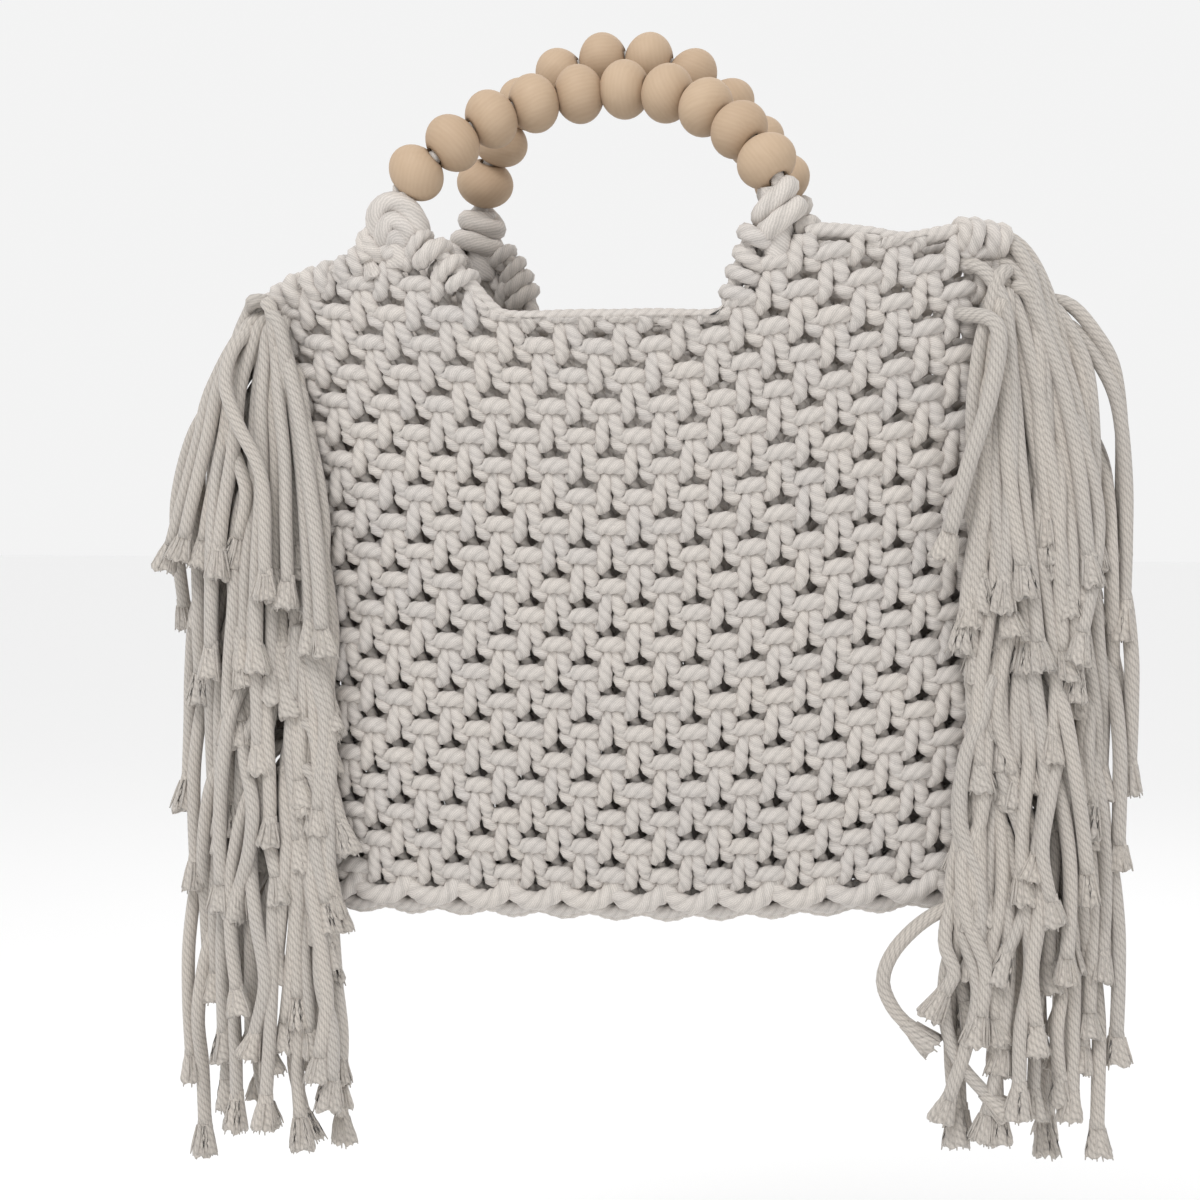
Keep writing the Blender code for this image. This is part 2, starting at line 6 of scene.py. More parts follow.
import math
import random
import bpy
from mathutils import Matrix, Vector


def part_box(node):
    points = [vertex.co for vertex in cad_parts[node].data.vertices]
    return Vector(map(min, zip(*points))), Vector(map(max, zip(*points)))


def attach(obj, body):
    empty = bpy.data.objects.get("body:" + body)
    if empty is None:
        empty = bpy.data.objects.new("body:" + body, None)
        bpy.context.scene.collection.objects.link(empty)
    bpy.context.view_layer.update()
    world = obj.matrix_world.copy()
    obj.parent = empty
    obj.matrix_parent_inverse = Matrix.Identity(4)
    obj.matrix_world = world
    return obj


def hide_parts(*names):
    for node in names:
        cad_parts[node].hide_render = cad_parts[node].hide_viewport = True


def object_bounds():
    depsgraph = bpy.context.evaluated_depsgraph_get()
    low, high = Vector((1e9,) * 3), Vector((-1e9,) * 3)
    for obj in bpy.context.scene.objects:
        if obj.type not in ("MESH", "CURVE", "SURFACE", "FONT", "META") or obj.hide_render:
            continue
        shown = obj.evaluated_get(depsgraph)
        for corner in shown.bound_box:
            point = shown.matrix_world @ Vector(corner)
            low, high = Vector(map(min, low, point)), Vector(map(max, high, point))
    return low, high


bl_info = {
    "name": "Knotted Cord Tote",
    "version": (1, 0, 0),
    "blender": (4, 5, 0),
    "location": "3D View > Sidebar > Tote",
    "description": "Knots, beads and fringe for a hanging cord tote bag",
    "category": "Object",
}

import bpy
import numpy as np
from bpy.props import FloatProperty, FloatVectorProperty, IntProperty, PointerProperty
from mathutils import Vector

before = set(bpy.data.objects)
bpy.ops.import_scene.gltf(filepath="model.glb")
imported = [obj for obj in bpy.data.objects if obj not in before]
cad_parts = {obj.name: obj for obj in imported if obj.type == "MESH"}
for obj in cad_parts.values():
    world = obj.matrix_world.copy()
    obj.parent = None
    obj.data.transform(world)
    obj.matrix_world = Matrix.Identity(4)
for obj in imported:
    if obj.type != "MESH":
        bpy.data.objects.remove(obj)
CAD_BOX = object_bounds()

# The bag's own form, as the solids have it
BAG_WIDTH = 0.302
BAG_HEIGHT = 0.247
HANG_DROP = 0.098
HANG_OFFSET = 0.021
WALL = 0.010
MOUTH_OPENING = 0.060
MID_DEPTH = -0.009
PEAK_RISE = 0.040
BOTTOM_LIFT = 0.012
ROW_LIFT = 0.028
LEFT_ROW_LIFT = 0.0056
COLUMNS = 13
ROWS = 20
FRINGE_LENGTH = 0.125
FRINGE_REACH = 0.055
FRINGE_DEPTH_SHARE = 0.52

# Beads and the cords that no setting changes
BEADS = 10
BEAD_RADIUS = 0.0125
BEAD_HALF_LENGTH = 0.0098
BEAD_STEPS = 16
BORE_RADIUS = 0.0036
HANDLE_CORD_RADIUS = 0.0031
UNDERSIDE_RADIUS = 0.0031
# In the base knots: the cord inside, and the wraps of the upright ones
CORE_RADIUS = 0.0066
WRAP_RADIUS = 0.0045
# For the tables in millimetres
MM = 0.001

HALF_WIDTH = BAG_WIDTH / 2
MOUTH_Z = -HANG_DROP
BOTTOM_Z = MOUTH_Z - BAG_HEIGHT

# Side edges: height share, then the left and the right edge as shares of half the width
SIDE_EDGES = np.array((
    (0.00, 0.987, 0.947),
    (0.20, 1.000, 0.977),
    (0.53, 1.000, 1.005),
    (0.84, 1.007, 1.009),
    (1.03, 1.093, 1.015),
    (1.10, 1.100, 1.018),
))

# Top edge: x on the front and on the back as shares of half the width, then the rise share
LEFT_SHOULDER = (
    (-1.086, -1.086, 0.20),
    (-1.000, -1.000, 0.36),
    (-0.900, -0.880, 0.48),
    (-0.800, -0.720, 0.60),
    (-0.745, -0.610, 0.80),
)
MOUTH = (
    (-0.600, -0.460, 0.80),
    (-0.545, -0.430, 0.66),
    (-0.470, -0.400, 0.38),
    (-0.400, -0.370, 0.09),
    (-0.340, -0.330, 0.00),
    (-0.150, -0.150, 0.00),
    (0.040, 0.040, 0.00),
    (0.225, 0.225, 0.00),
    (0.255, 0.255, 0.20),
    (0.285, 0.285, 0.52),
    (0.310, 0.310, 0.80),
)
RIGHT_SHOULDER = (
    (0.455, 0.455, 0.80),
    (0.500, 0.500, 0.84),
    (0.620, 0.620, 0.80),
    (0.720, 0.720, 0.75),
    (0.860, 0.860, 0.84),
    (0.960, 0.960, 0.78),
    (1.016, 1.016, 0.53),
)
TOP_EDGE = np.array(LEFT_SHOULDER + MOUTH + RIGHT_SHOULDER)

# How a loose cord falls: down its length, then out to its reach
FALL = (
    (0.00, 0.00),
    (0.02, 0.24),
    (0.07, 0.50),
    (0.15, 0.74),
    (0.30, 0.92),
    (0.55, 1.00),
    (0.78, 1.01),
    (1.00, 1.00),
)
# Loose cords of one seam row: the way they leave the seam in degrees, from the front (-90)
# over outwards (0) to the back (90), then the reach share
LEFT_TUFT = ((-128, 0.42), (-98, 0.62), (-66, 0.74), (-34, 0.86), (-6, 0.96), (30, 0.84),
             (72, 0.60))
RIGHT_TUFT = ((-122, 0.44), (-96, 0.58), (-64, 0.66), (-32, 0.76), (-6, 0.84), (32, 0.76),
              (74, 0.56))
SEAM_ROWS = 16
TOP_ROWS = 3
# The highest loose cord and the highest hitch of each seam, as shares of the peaks' rise
SEAM_TOP = {-1: 0.14, 1: 0.46}
HITCH_TOP = {-1: 0.18, 1: 0.50}
# In the top rows these places are left to the fans, and the other cords reach less far
FAN_PLACES = (1, 2)
TOP_REACH = {-1: 0.72, 1: 0.88}

# Cords that stray from the rest, through given points
STRAYS = (
    ((0.150, -0.034, -0.098), (0.166, -0.044, -0.104), (0.164, -0.047, -0.130),
     (0.155, -0.046, -0.160), (0.148, -0.044, -0.186)),
    ((0.163, -0.020, -0.338), (0.143, -0.030, -0.343), (0.128, -0.034, -0.356),
     (0.122, -0.034, -0.370), (0.126, -0.033, -0.382), (0.133, -0.032, -0.390)),
    ((0.160, -0.018, -0.345), (0.149, -0.028, -0.360), (0.147, -0.031, -0.382),
     (0.152, -0.031, -0.402), (0.165, -0.030, -0.418)),
    ((0.158, -0.016, -0.330), (0.150, -0.028, -0.338), (0.147, -0.033, -0.354),
     (0.151, -0.035, -0.366), (0.147, -0.035, -0.374)),
    ((0.159, -0.010, -0.106), (0.160, -0.011, -0.090), (0.157, -0.013, -0.078),
     (0.154, -0.018, -0.068), (0.163, -0.022, -0.065),
     (0.174, -0.024, -0.073), (0.181, -0.028, -0.092), (0.185, -0.030, -0.125),
     (0.187, -0.031, -0.185)),
    ((0.143, -0.010, -0.075), (0.151, -0.010, -0.067), (0.163, -0.011, -0.064),
     (0.176, -0.013, -0.071), (0.186, -0.016, -0.090), (0.194, -0.018, -0.122),
     (0.197, -0.020, -0.175)),
    ((0.145, -0.001, -0.075), (0.156, 0.000, -0.066), (0.168, 0.001, -0.066),
     (0.180, 0.001, -0.080), (0.190, 0.000, -0.105), (0.197, -0.001, -0.165)),
    ((0.140, -0.024, -0.082), (0.152, -0.029, -0.078), (0.163, -0.034, -0.084),
     (0.170, -0.037, -0.104), (0.172, -0.038, -0.150), (0.170, -0.038, -0.205)),
    ((-0.138, -0.004, -0.094), (-0.148, -0.006, -0.099), (-0.156, -0.010, -0.114),
     (-0.163, -0.012, -0.138), (-0.171, -0.014, -0.192)),
    ((-0.147, -0.026, -0.100), (-0.153, -0.038, -0.110), (-0.155, -0.043, -0.125),
     (-0.149, -0.045, -0.142), (-0.139, -0.044, -0.165), (-0.138, -0.043, -0.205)),
)

# Fans of loose cords on the front under each top corner: how many, then the outermost and the
# innermost cord's paths, between which the others lie
FANS = (
    (10,
     ((-0.140, -0.016, -0.092), (-0.149, -0.022, -0.097), (-0.1575, -0.026, -0.109),
      (-0.1656, -0.028, -0.126), (-0.171, -0.029, -0.1455), (-0.181, -0.028, -0.178),
      (-0.185, -0.027, -0.190)),
     ((-0.133, -0.026, -0.096), (-0.133, -0.030, -0.103), (-0.128, -0.033, -0.117),
      (-0.1235, -0.035, -0.132), (-0.118, -0.038, -0.158), (-0.114, -0.040, -0.184),
      (-0.112, -0.041, -0.208))),
    (9,
     ((0.158, -0.016, -0.078), (0.167, -0.020, -0.074), (0.177, -0.023, -0.083),
      (0.186, -0.025, -0.101), (0.195, -0.025, -0.122), (0.202, -0.024, -0.152),
      (0.206, -0.023, -0.187)),
     ((0.160, -0.026, -0.094), (0.165, -0.031, -0.098), (0.166, -0.034, -0.112),
      (0.166, -0.036, -0.132), (0.165, -0.037, -0.155), (0.167, -0.037, -0.180),
      (0.171, -0.037, -0.204))),
)

# A frayed end's outline: down its length, then the share of its width
FRAY_STAGES = ((-0.22, 0.48), (0.12, 0.57), (0.42, 0.72), (0.75, 0.90), (0.93, 0.99),
               (1.0, 0.90), (0.97, 0.45))
FRAY_FLUTES = 22

# A cell of the knot lattice, across and up in millimetres, and 1 for what is out of the panel
CELL = (23.2, 12.55, 1.0)
# Slightly different copies made of each cord of a knot
VARIANTS = 5
# The cord diameter that the radii below are for
TABLE_DIAMETER = 0.0056
# One knot's two cords: across in columns and up in rows of the lattice from the knot's middle,
# then out of the panel and the cord's radius in millimetres
OVER_CORD = (
    (0.047, 0.04, -1.6, 2.40),
    (0.050, -0.12, 0.0, 2.65),
    (0.071, -0.33, 1.9, 3.00),
    (0.094, -0.58, 2.5, 3.15),
    (0.136, -0.83, 2.2, 3.15),
    (0.214, -1.01, 1.7, 3.05),
    (0.333, -0.975, 2.6, 3.25),
    (0.500, -0.950, 3.4, 3.45),
    (0.645, -0.985, 2.9, 3.25),
    (0.730, -1.120, 1.0, 2.90),
    (0.775, -1.330, -1.2, 2.50),
    (0.860, -1.650, -1.8, 2.30),
    (0.926, -1.950, -1.6, 2.30),
)
UNDER_CORD = (
    (-0.074, 0.05, -1.6, 2.40),
    (-0.070, -0.12, 0.0, 2.55),
    (-0.086, -0.33, 1.7, 2.80),
    (-0.120, -0.62, 2.4, 3.05),
    (-0.152, -0.87, 2.5, 3.10),
    (-0.146, -1.10, 2.9, 3.10),
    (-0.155, -1.26, 2.8, 3.10),
    (-0.205, -1.375, 2.2, 3.05),
    (-0.300, -1.39, 0.7, 2.80),
    (-0.400, -1.35, -2.0, 2.50),
    (-0.640, -1.22, -2.6, 2.50),
    (-0.840, -1.00, -2.2, 2.60),
    (-0.920, -1.02, -0.7, 2.80),
    (-0.900, -1.19, 1.5, 3.05),
    (-0.832, -1.32, 2.0, 3.10),
    (-0.745, -1.40, 0.4, 2.80),
    (-0.735, -1.62, -1.5, 2.50),
    (-0.953, -1.96, -1.6, 2.40),
)
# Where each kind of knot's cord stops in its table: at the end, or inside the binding
KNOT_ENDS = {"whole": None, "to_binding": 5}
# How far the edge knots' cords may pass a side edge, in columns
EDGE_SLACK = 0.22
# On the back panel the under cord's hidden stretch lies higher, behind the gap above its knot
HIDDEN_STRETCH = slice(9, 12)
BACK_STRETCH = (
    (-0.355, -0.95, -2.6, 2.70),
    (-0.450, -0.62, -3.2, 2.90),
    (-0.610, -0.60, -3.2, 2.90),
    (-0.800, -0.85, -2.6, 2.70),
)

# One loop of the binding: across in columns, up in rows, out of the panel in millimetres
BINDING_LOOP = (
    (-0.60, 0.92, -2.4),
    (-0.50, 0.58, 1.4),
    (-0.30, 0.22, 3.2),
    (0.00, 0.06, 3.9),
    (0.30, 0.22, 3.4),
    (0.50, 0.58, 2.2),
    (0.60, 0.96, -1.4),
)
# Cords under the bottom edge: the share of the way to a face, then the drop below the edge
UNDERSIDE = ((-0.9, 0.0030), (0, 0.0052), (0.9, 0.0030), (-0.3, -0.0020), (0.3, -0.0075))

# One hitch over a top edge: up and out of the panel in millimetres, then the share of its slant
HITCH = (
    (-8.0, 2.0, -1.0),
    (-4.5, 5.0, -0.7),
    (0.2, 5.4, -0.3),
    (2.7, 0.0, 0.0),
    (0.2, -5.4, 0.3),
    (-4.5, -5.0, 0.7),
    (-8.0, -2.0, 1.0),
)
HITCH_PITCH = 0.0088

# The folded base knot: each loop's radius, then across, up and out in millimetres
FOLDED_LOOPS = (
    (0.0048, ((-5.0, -8.0, -1.0), (-8.8, -5.0, 1.4), (-9.6, 1.0, 2.6), (-6.6, 5.8, 3.2),
              (-1.4, 7.0, 3.4), (3.6, 4.4, 3.4), (7.2, -0.6, 2.8), (8.6, -6.0, 0.5),
              (7.0, -10.0, -2.5))),
    (0.0044, ((-8.5, -11.5, -1.0), (-6.4, -5.0, 3.4), (-2.8, -0.6, 4.4), (1.6, -2.0, 4.4),
              (4.8, -6.6, 3.2), (5.6, -12.0, 0.0))),
    (0.0038, ((-4.0, -11.5, 0.0), (-1.8, -7.0, 3.8), (2.0, -8.0, 3.6), (3.0, -12.5, 0.0))),
)
CUT_END = ((-6.0, -9.0, 0.0), (-11.5, -5.5, 1.0), (-15.0, -7.0, 2.0), (-15.2, -12.0, 2.6),
           (-13.2, -17.0, 2.6))

# Lights: name, place, size and power
LIGHTS = (
    ("key_light", (-0.30, -1.05, 1.05), 0.6, 11.8),
    ("fill_light", (1.30, -1.00, 0.10), 1.2, 1.5),
    ("back_light", (0.20, 1.40, 0.90), 1.2, 3.0),
)
LIT_PLACE = Vector((0.01, 0.0, -0.24))
# The camera stands a metre from its aim
CAMERA_AIM = Vector((-0.002, 0.0, -0.217))
CAMERA_TURN = math.radians(10)
CAMERA_LIFT = math.radians(3)
VIEW_ANGLE = math.radians(29)
FLOOR_REACH = 12.0
FLOOR_GAP = 0.16


def seeded(name, *keys):
    """A random source that gives the same numbers on each run."""
    return random.Random(":".join([name, *map(str, keys)]))


def side_x(side, z):
    """x of the left (-1) or right (+1) edge at these heights."""
    share = (z - BOTTOM_Z) / BAG_HEIGHT
    edge = np.interp(share, SIDE_EDGES[:, 0], SIDE_EDGES[:, 1 if side < 0 else 2])
    return HANG_OFFSET + side * HALF_WIDTH * edge


def bottom_edge_z(across):
    return BOTTOM_Z + BOTTOM_LIFT * np.maximum(0.0, across) ** 1.5


def row_line_z(across):
    right = ROW_LIFT * np.maximum(0.0, across) ** 1.4
    left = LEFT_ROW_LIFT * np.maximum(0.0, -across) ** 2
    return MOUTH_Z + right + left


def half_opening(x, z):
    """Half the space between the panels."""
    left, right = side_x(-1, z), side_x(1, z)
    across = np.clip((2 * x - left - right) / (right - left), -1, 1)
    spread = np.maximum(0.0, 1 - np.abs(across) ** 3) ** 0.75
    rise = np.clip((z - BOTTOM_Z) / BAG_HEIGHT, 0, 1) ** 0.8
    return MOUTH_OPENING / 2 * spread * rise


def wall_middle(face, x, z):
    """y of the middle of the front (-1) or back (+1) panel's thickness."""
    return MID_DEPTH + face * (half_opening(x, z) + WALL / 2)


def wall_point(face, x, z, out):
    """Points this far out of the panel's middle, along its own normal."""
    step = 0.002
    y = wall_middle(face, x, z)
    slope_x = (wall_middle(face, x + step, z) - wall_middle(face, x - step, z)) / (2 * step)
    slope_z = (wall_middle(face, x, z + step) - wall_middle(face, x, z - step)) / (2 * step)
    slope_x, slope_z = np.clip(slope_x, -1.2, 1.2), np.clip(slope_z, -0.8, 0.8)
    size = np.sqrt(1 + slope_x ** 2 + slope_z ** 2)
    return np.stack([
        x - face * slope_x / size * out,
        y + face * out / size,
        z - face * slope_z / size * out,
    ], axis=-1)


def lattice(column, row):
    """x and z of a place in the knot lattice."""
    across = 2 * column / COLUMNS - 1
    low, high = bottom_edge_z(across), row_line_z(across)
    z = low + (high - low) * row / ROWS
    left, right = side_x(-1, z), side_x(1, z)
    return left + (right - left) * column / COLUMNS, z


def top_edge_z(face, x):
    """Height of a panel's top edge over this x."""
    xs = HANG_OFFSET + HALF_WIDTH * TOP_EDGE[:, 0 if face < 0 else 1]
    return np.interp(x, xs, MOUTH_Z + PEAK_RISE * TOP_EDGE[:, 2])


def top_edge_points(face, rows):
    """(x, z) along a stretch of a panel's top edge."""
    column = 0 if face < 0 else 1
    return [(HANG_OFFSET + HALF_WIDTH * row[column], MOUTH_Z + PEAK_RISE * row[2]) for row in rows]


def smooth_path(rows, spacing):
    """Evenly spaced rows on a Catmull-Rom curve through the given rows, by their first three."""
    rows = np.asarray(rows, float)
    ends = np.vstack([2 * rows[0] - rows[1], rows, 2 * rows[-1] - rows[-2]])
    fine = []
    for p0, p1, p2, p3 in zip(ends, ends[1:], ends[2:], ends[3:]):
        for t in np.linspace(0, 1, 8, endpoint=False):
            fine.append(0.5 * (2 * p1 + (p2 - p0) * t + (2 * p0 - 5 * p1 + 4 * p2 - p3) * t ** 2
                               + (3 * p1 - p0 - 3 * p2 + p3) * t ** 3))
    fine.append(ends[-2])
    fine = np.array(fine)
    length = np.concatenate([[0], np.cumsum(np.linalg.norm(np.diff(fine[:, :3], axis=0), axis=1))])
    count = max(4, int(round(length[-1] / spacing)) + 1)
    at = np.linspace(0, length[-1], count)
    return np.stack([np.interp(at, length, fine[:, i]) for i in range(fine.shape[1])], axis=1)


class CordMesh:
    """Twisted cords collected into one mesh."""

    def __init__(self):
        self.points = []
        self.faces = []
        self.uvs = []
        self.tones = []
        self.count = 0

    def add(self, path, radii, turn_length, start_turn=0.0, tone=0.5, sides=9, ply=0.11,
            unit=1.0):
        """One cord whose three plies turn along a path. With no ply depth it is round."""
        path = np.asarray(path, float)
        count = len(path)
        tangents = np.gradient(path, axis=0)
        tangents /= np.linalg.norm(tangents, axis=1)[:, None] + 1e-12
        steps = np.linalg.norm(np.diff(path, axis=0), axis=1)
        along = np.concatenate([[0], np.cumsum(steps)])
        side = np.cross(tangents[0], (0, 1, 0))
        if np.linalg.norm(side) < 0.3:
            side = np.cross(tangents[0], (1, 0, 0))
        across, upward = [], []
        for tangent in tangents:
            side = side - side.dot(tangent) * tangent
            side /= np.linalg.norm(side)
            across.append(side)
            upward.append(np.cross(tangent, side))
        across, upward = np.array(across), np.array(upward)
        ring = np.arange(sides)
        turns = start_turn - 2 * math.pi * along / turn_length
        angles = 2 * math.pi * ring / sides + turns[:, None]
        lobes = np.where(ring % 3 == 0, 1 - ply, 1 + ply * 0.15)
        reach = np.asarray(radii, float)[:, None] * lobes
        points = (path[:, None, :]
                  + (reach * np.cos(angles))[:, :, None] * across[:, None, :]
                  + (reach * np.sin(angles))[:, :, None] * upward[:, None, :])
        self.add_rings(points.reshape(-1, 3), count, sides, along * unit, tone)

    def add_rings(self, points, count, sides, along, tone):
        """Rings of points in order, joined into a tube."""
        base = self.count
        self.points.append(points)
        self.tones.append(np.full(len(points), tone))
        for ring in range(count - 1):
            low, high = base + ring * sides, base + (ring + 1) * sides
            v0, v1 = along[ring], along[ring + 1]
            for step in range(sides):
                following = (step + 1) % sides
                self.faces.append((low + step, low + following, high + following, high + step))
                u0, u1 = step / sides, (step + 1) / sides
                self.uvs += [u0, v0, u1, v0, u1, v1, u0, v1]
        self.faces.append(tuple(base + step for step in reversed(range(sides))))
        self.faces.append(tuple(base + (count - 1) * sides + step for step in range(sides)))
        self.uvs += [0.5, 0.0] * sides + [0.5, along[-1]] * sides
        self.count += len(points)

    def add_copy(self, source, points, tone):
        """Another mesh's cords, with their points moved to these."""
        self.faces += [tuple(self.count + i for i in face) for face in source.faces]
        self.points.append(points)
        self.tones.append(np.full(len(points), tone))
        self.uvs += source.uvs
        self.count += len(points)

    def make(self, name, finish):
        """The piece made of every cord collected."""
        mesh = bpy.data.meshes.new(name)
        points = np.concatenate(self.points)
        mesh.from_pydata(points.tolist(), [], self.faces)
        layer = mesh.uv_layers.new(name="cord")
        layer.data.foreach_set("uv", np.asarray(self.uvs, np.float32))
        tones = mesh.attributes.new("tone", "FLOAT", "POINT")
        tones.data.foreach_set("value", np.concatenate(self.tones).astype(np.float32))
        mesh.shade_smooth()
        made = add_object(name, mesh, finish)
        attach(made, "root")
        return made


def add_object(name, mesh, finish):
    """An object in the scene with this mesh and finish."""
    mesh.materials.append(finish)
    made = bpy.data.objects.new(name, mesh)
    bpy.context.scene.collection.objects.link(made)
    return made


def knot_template(table, seed, sizes):
    """Ring points of one cord of a knot in cell units, for laying on a panel."""
    rng = seeded("knot", seed)
    rows = np.array(table, float)
    rows[:, :3] = rows[:, :3] * CELL + (rng.uniform(-0.4, 0.4), rng.uniform(-0.35, 0.35),
                                        rng.uniform(-0.2, 0.2))
    rows[:, 3] *= rng.uniform(0.97, 1.06) * sizes.cord_diameter / TABLE_DIAMETER
    path = smooth_path(rows, 2.0)
    mesh = CordMesh()
    mesh.add(path[:, :3], path[:, 3], sizes.turn_length / MM, rng.uniform(0, 6), unit=MM)
    return np.concatenate(mesh.points) / CELL, mesh


def lattice_knots(face):
    """Column and row of every knot that lies on a panel."""
    knots = set()
    for row in range(1, ROWS + 7):
        column = 0.5 if row % 2 == 0 else 0.0
        while column <= COLUMNS:
            x, z = lattice(column, row)
            room = min(top_edge_z(face, x + shift) for shift in (-0.006, 0.0, 0.006)) - z
            if row < ROWS - 1 or room > -0.0025:
                knots.add((column, row))
            column += 1.0
    return knots


def drawn_in(columns):
    """Columns past a side edge, drawn in close to it."""
    below = -EDGE_SLACK * (1 - np.exp(columns / EDGE_SLACK))
    above = COLUMNS + EDGE_SLACK * (1 - np.exp((COLUMNS - columns) / EDGE_SLACK))
    return np.where(columns < 0, below, np.where(columns > COLUMNS, above, columns))


def warp(face, template, column, row, shift):
    """A knot's points laid on a panel, none above the cord on its top edge."""
    columns = column - face * template[:, 0]
    rows = row + template[:, 1]
    wave = np.sin(columns * 1.9 + rows * 0.7 + face) * 0.012
    lift = np.cos(columns * 1.3 - rows * 0.9) * 0.022
    x, z = lattice(drawn_in(columns + wave), rows + lift)
    z = np.minimum(z, top_edge_z(face, x) - 0.0005)
    return wall_point(face, x, z, (template[:, 2] + shift) * MM)


def knotted_panel(face, label, sizes, finish):
    """The two sets of cords that tie a panel's knots."""
    under = list(UNDER_CORD)
    if face > 0:
        under[HIDDEN_STRETCH] = BACK_STRETCH
    knots = lattice_knots(face)
    pieces = []
    for set_name, table, step in (("over", OVER_CORD, -0.5 * face), ("under", under, 0.5 * face)):
        templates = {
            (kind, variant): knot_template(table[:last], f"{set_name}{kind}{variant}", sizes)
            for kind, last in KNOT_ENDS.items() for variant in range(VARIANTS)
        }
        mesh = CordMesh()
        for column, row in sorted(knots | {(c - step, r + 1) for c, r in knots}):
            if row > 1 and (column + step, row - 1) not in knots:
                continue
            kind = "to_binding" if row == 1 else "whole"
            rng = seeded("place", label, set_name, column, row)
            template, source = templates[kind, rng.randrange(VARIANTS)]
            points = warp(face, template, column, row, rng.uniform(-0.25, 0.25))
            mesh.add_copy(source, points, rng.random())
        pieces.append(mesh.make(f"{label}_{set_name}_cords", finish))
    return pieces


def rope_along(mesh, rows, radius, sizes, seed, spacing=0.0022, plump=0.0, ply=0.11, slack=1.0):
    """A cord through chosen points; with slack its plies turn more slowly."""
    rng = seeded("rope", seed)
    path = smooth_path(rows, spacing)
    share = np.linspace(0, 1, len(path))
    radii = radius * (1 + plump * np.sin(share * math.pi * rng.uniform(5, 8)) ** 2)
    turn_length = sizes.turn_length * max(1.0, 2 * radius / sizes.cord_diameter) * slack
    mesh.add(path[:, :3], radii, turn_length, rng.uniform(0, 6), rng.random(), ply=ply)


def frayed_end(mesh, tip, direction, rng, width, length, strands):
    """The brush of yarns at a cord's cut end."""
    direction = np.asarray(direction, float)
    direction /= np.linalg.norm(direction)
    side = np.cross(direction, (0, 1, 0))
    side = side if np.linalg.norm(side) > 0.2 else np.cross(direction, (1, 0, 0))
    side /= np.linalg.norm(side)
    other = np.cross(direction, side)
    squash = rng.uniform(0.6, 1.0)
    skew = side * rng.uniform(-0.12, 0.12)
    depth = [rng.uniform(0.90, 1.0) for _ in range(FRAY_FLUTES)]
    raggedness = [rng.uniform(-0.12, 0.08) for _ in range(FRAY_FLUTES)]
    points, along = [], []
    for down, wide in FRAY_STAGES:
        along.append(down * length)
        for index in range(FRAY_FLUTES):
            turn = 2 * math.pi * index / FRAY_FLUTES
            ridge = 1.0 if index % 2 else 0.94
            reach = width * wide * (1 + (ridge * depth[index] - 1) * max(0, down))
            spread = math.cos(turn) * side + math.sin(turn) * squash * other
            far = length * down * (1 + raggedness[index] * down)
            points.append(tip + direction * far + skew * far + spread * reach)
    tone = rng.uniform(0.3, 1.0)
    mesh.add_rings(np.array(points), len(FRAY_STAGES), FRAY_FLUTES, np.array(along), tone)
    for index in range(strands):
        turn = 2 * math.pi * (index + rng.random() * 0.8) / strands
        spread = math.cos(turn) * side + math.sin(turn) * squash * other
        out = rng.uniform(0.75, 1.08)
        long = length * rng.uniform(0.85, 1.12)
        rows = []
        for down in (0.05, 0.4, 0.75, 1.0):
            reach = width * (0.50 + 0.50 * down) * out
            rows.append(tip + (direction + skew) * long * down + spread * reach)
        mesh.add(rows, np.array((0.0006, 0.00065, 0.0006, 0.0003)), 0.02, 0.0,
                 rng.uniform(0.3, 1.0), sides=3, ply=0.0)


def clear_of_wall(x, y, z, radius, lay):
    """y moved out until a cord passes clear of the bag and of what lies under it."""
    face = -1 if y < MID_DEPTH else 1
    nearest = np.clip(x, side_x(-1, z), side_x(1, z))
    if abs(nearest - x) > radius + 0.0005 or z < BOTTOM_Z - 0.020:
        return y
    outside = wall_middle(face, nearest, z) + face * (WALL / 2 + radius + lay)
    return min(y, outside) if face < 0 else max(y, outside)


def spaced(step, *counts):
    """Shares from 0 to 1 that stay apart for neighbouring counts."""
    return (sum(count * step ** (index + 1) for index, count in enumerate(counts)) + 0.5) % 1


def loose_path(side, start, fan, reach, rng, sizes):
    """The path of one loose cord, from the seam to where it frays."""
    low = bottom_edge_z(side) + 0.004
    high = MOUTH_Z + PEAK_RISE * SEAM_TOP[side]
    z0 = low + (high - low) * start + rng.uniform(-0.006, 0.006)
    turn = math.radians(fan)
    lay = rng.uniform(0.001, 0.010)
    x0 = side_x(side, z0) - side * 0.005 * abs(math.sin(turn))
    y0 = MID_DEPTH + math.sin(turn) * 0.008
    reach *= FRINGE_REACH
    length = FRINGE_LENGTH * rng.uniform(0.80, 1.08)
    length -= sizes.fray_length
    sway = rng.choice((0.0015, 0.003, 0.003, 0.006))
    phase, waves = rng.uniform(0, 6.3), rng.uniform(3, 8)
    radius = sizes.fringe_diameter / 2
    rows = []
    for down, over in FALL:
        bend = sway * math.sin(phase + waves * down) * min(1.0, down * 5)
        x = x0 + side * (reach * over * math.cos(turn) + bend * math.sin(turn))
        y = y0 + FRINGE_DEPTH_SHARE * reach * over * math.sin(turn) - bend * math.cos(turn)
        z = z0 - length * down + 0.004 * math.sin(math.pi * min(1.0, down / 0.15))
        if over:
            y = clear_of_wall(x, y, z, radius, lay)
        rows.append((x, y, z))
    return rows


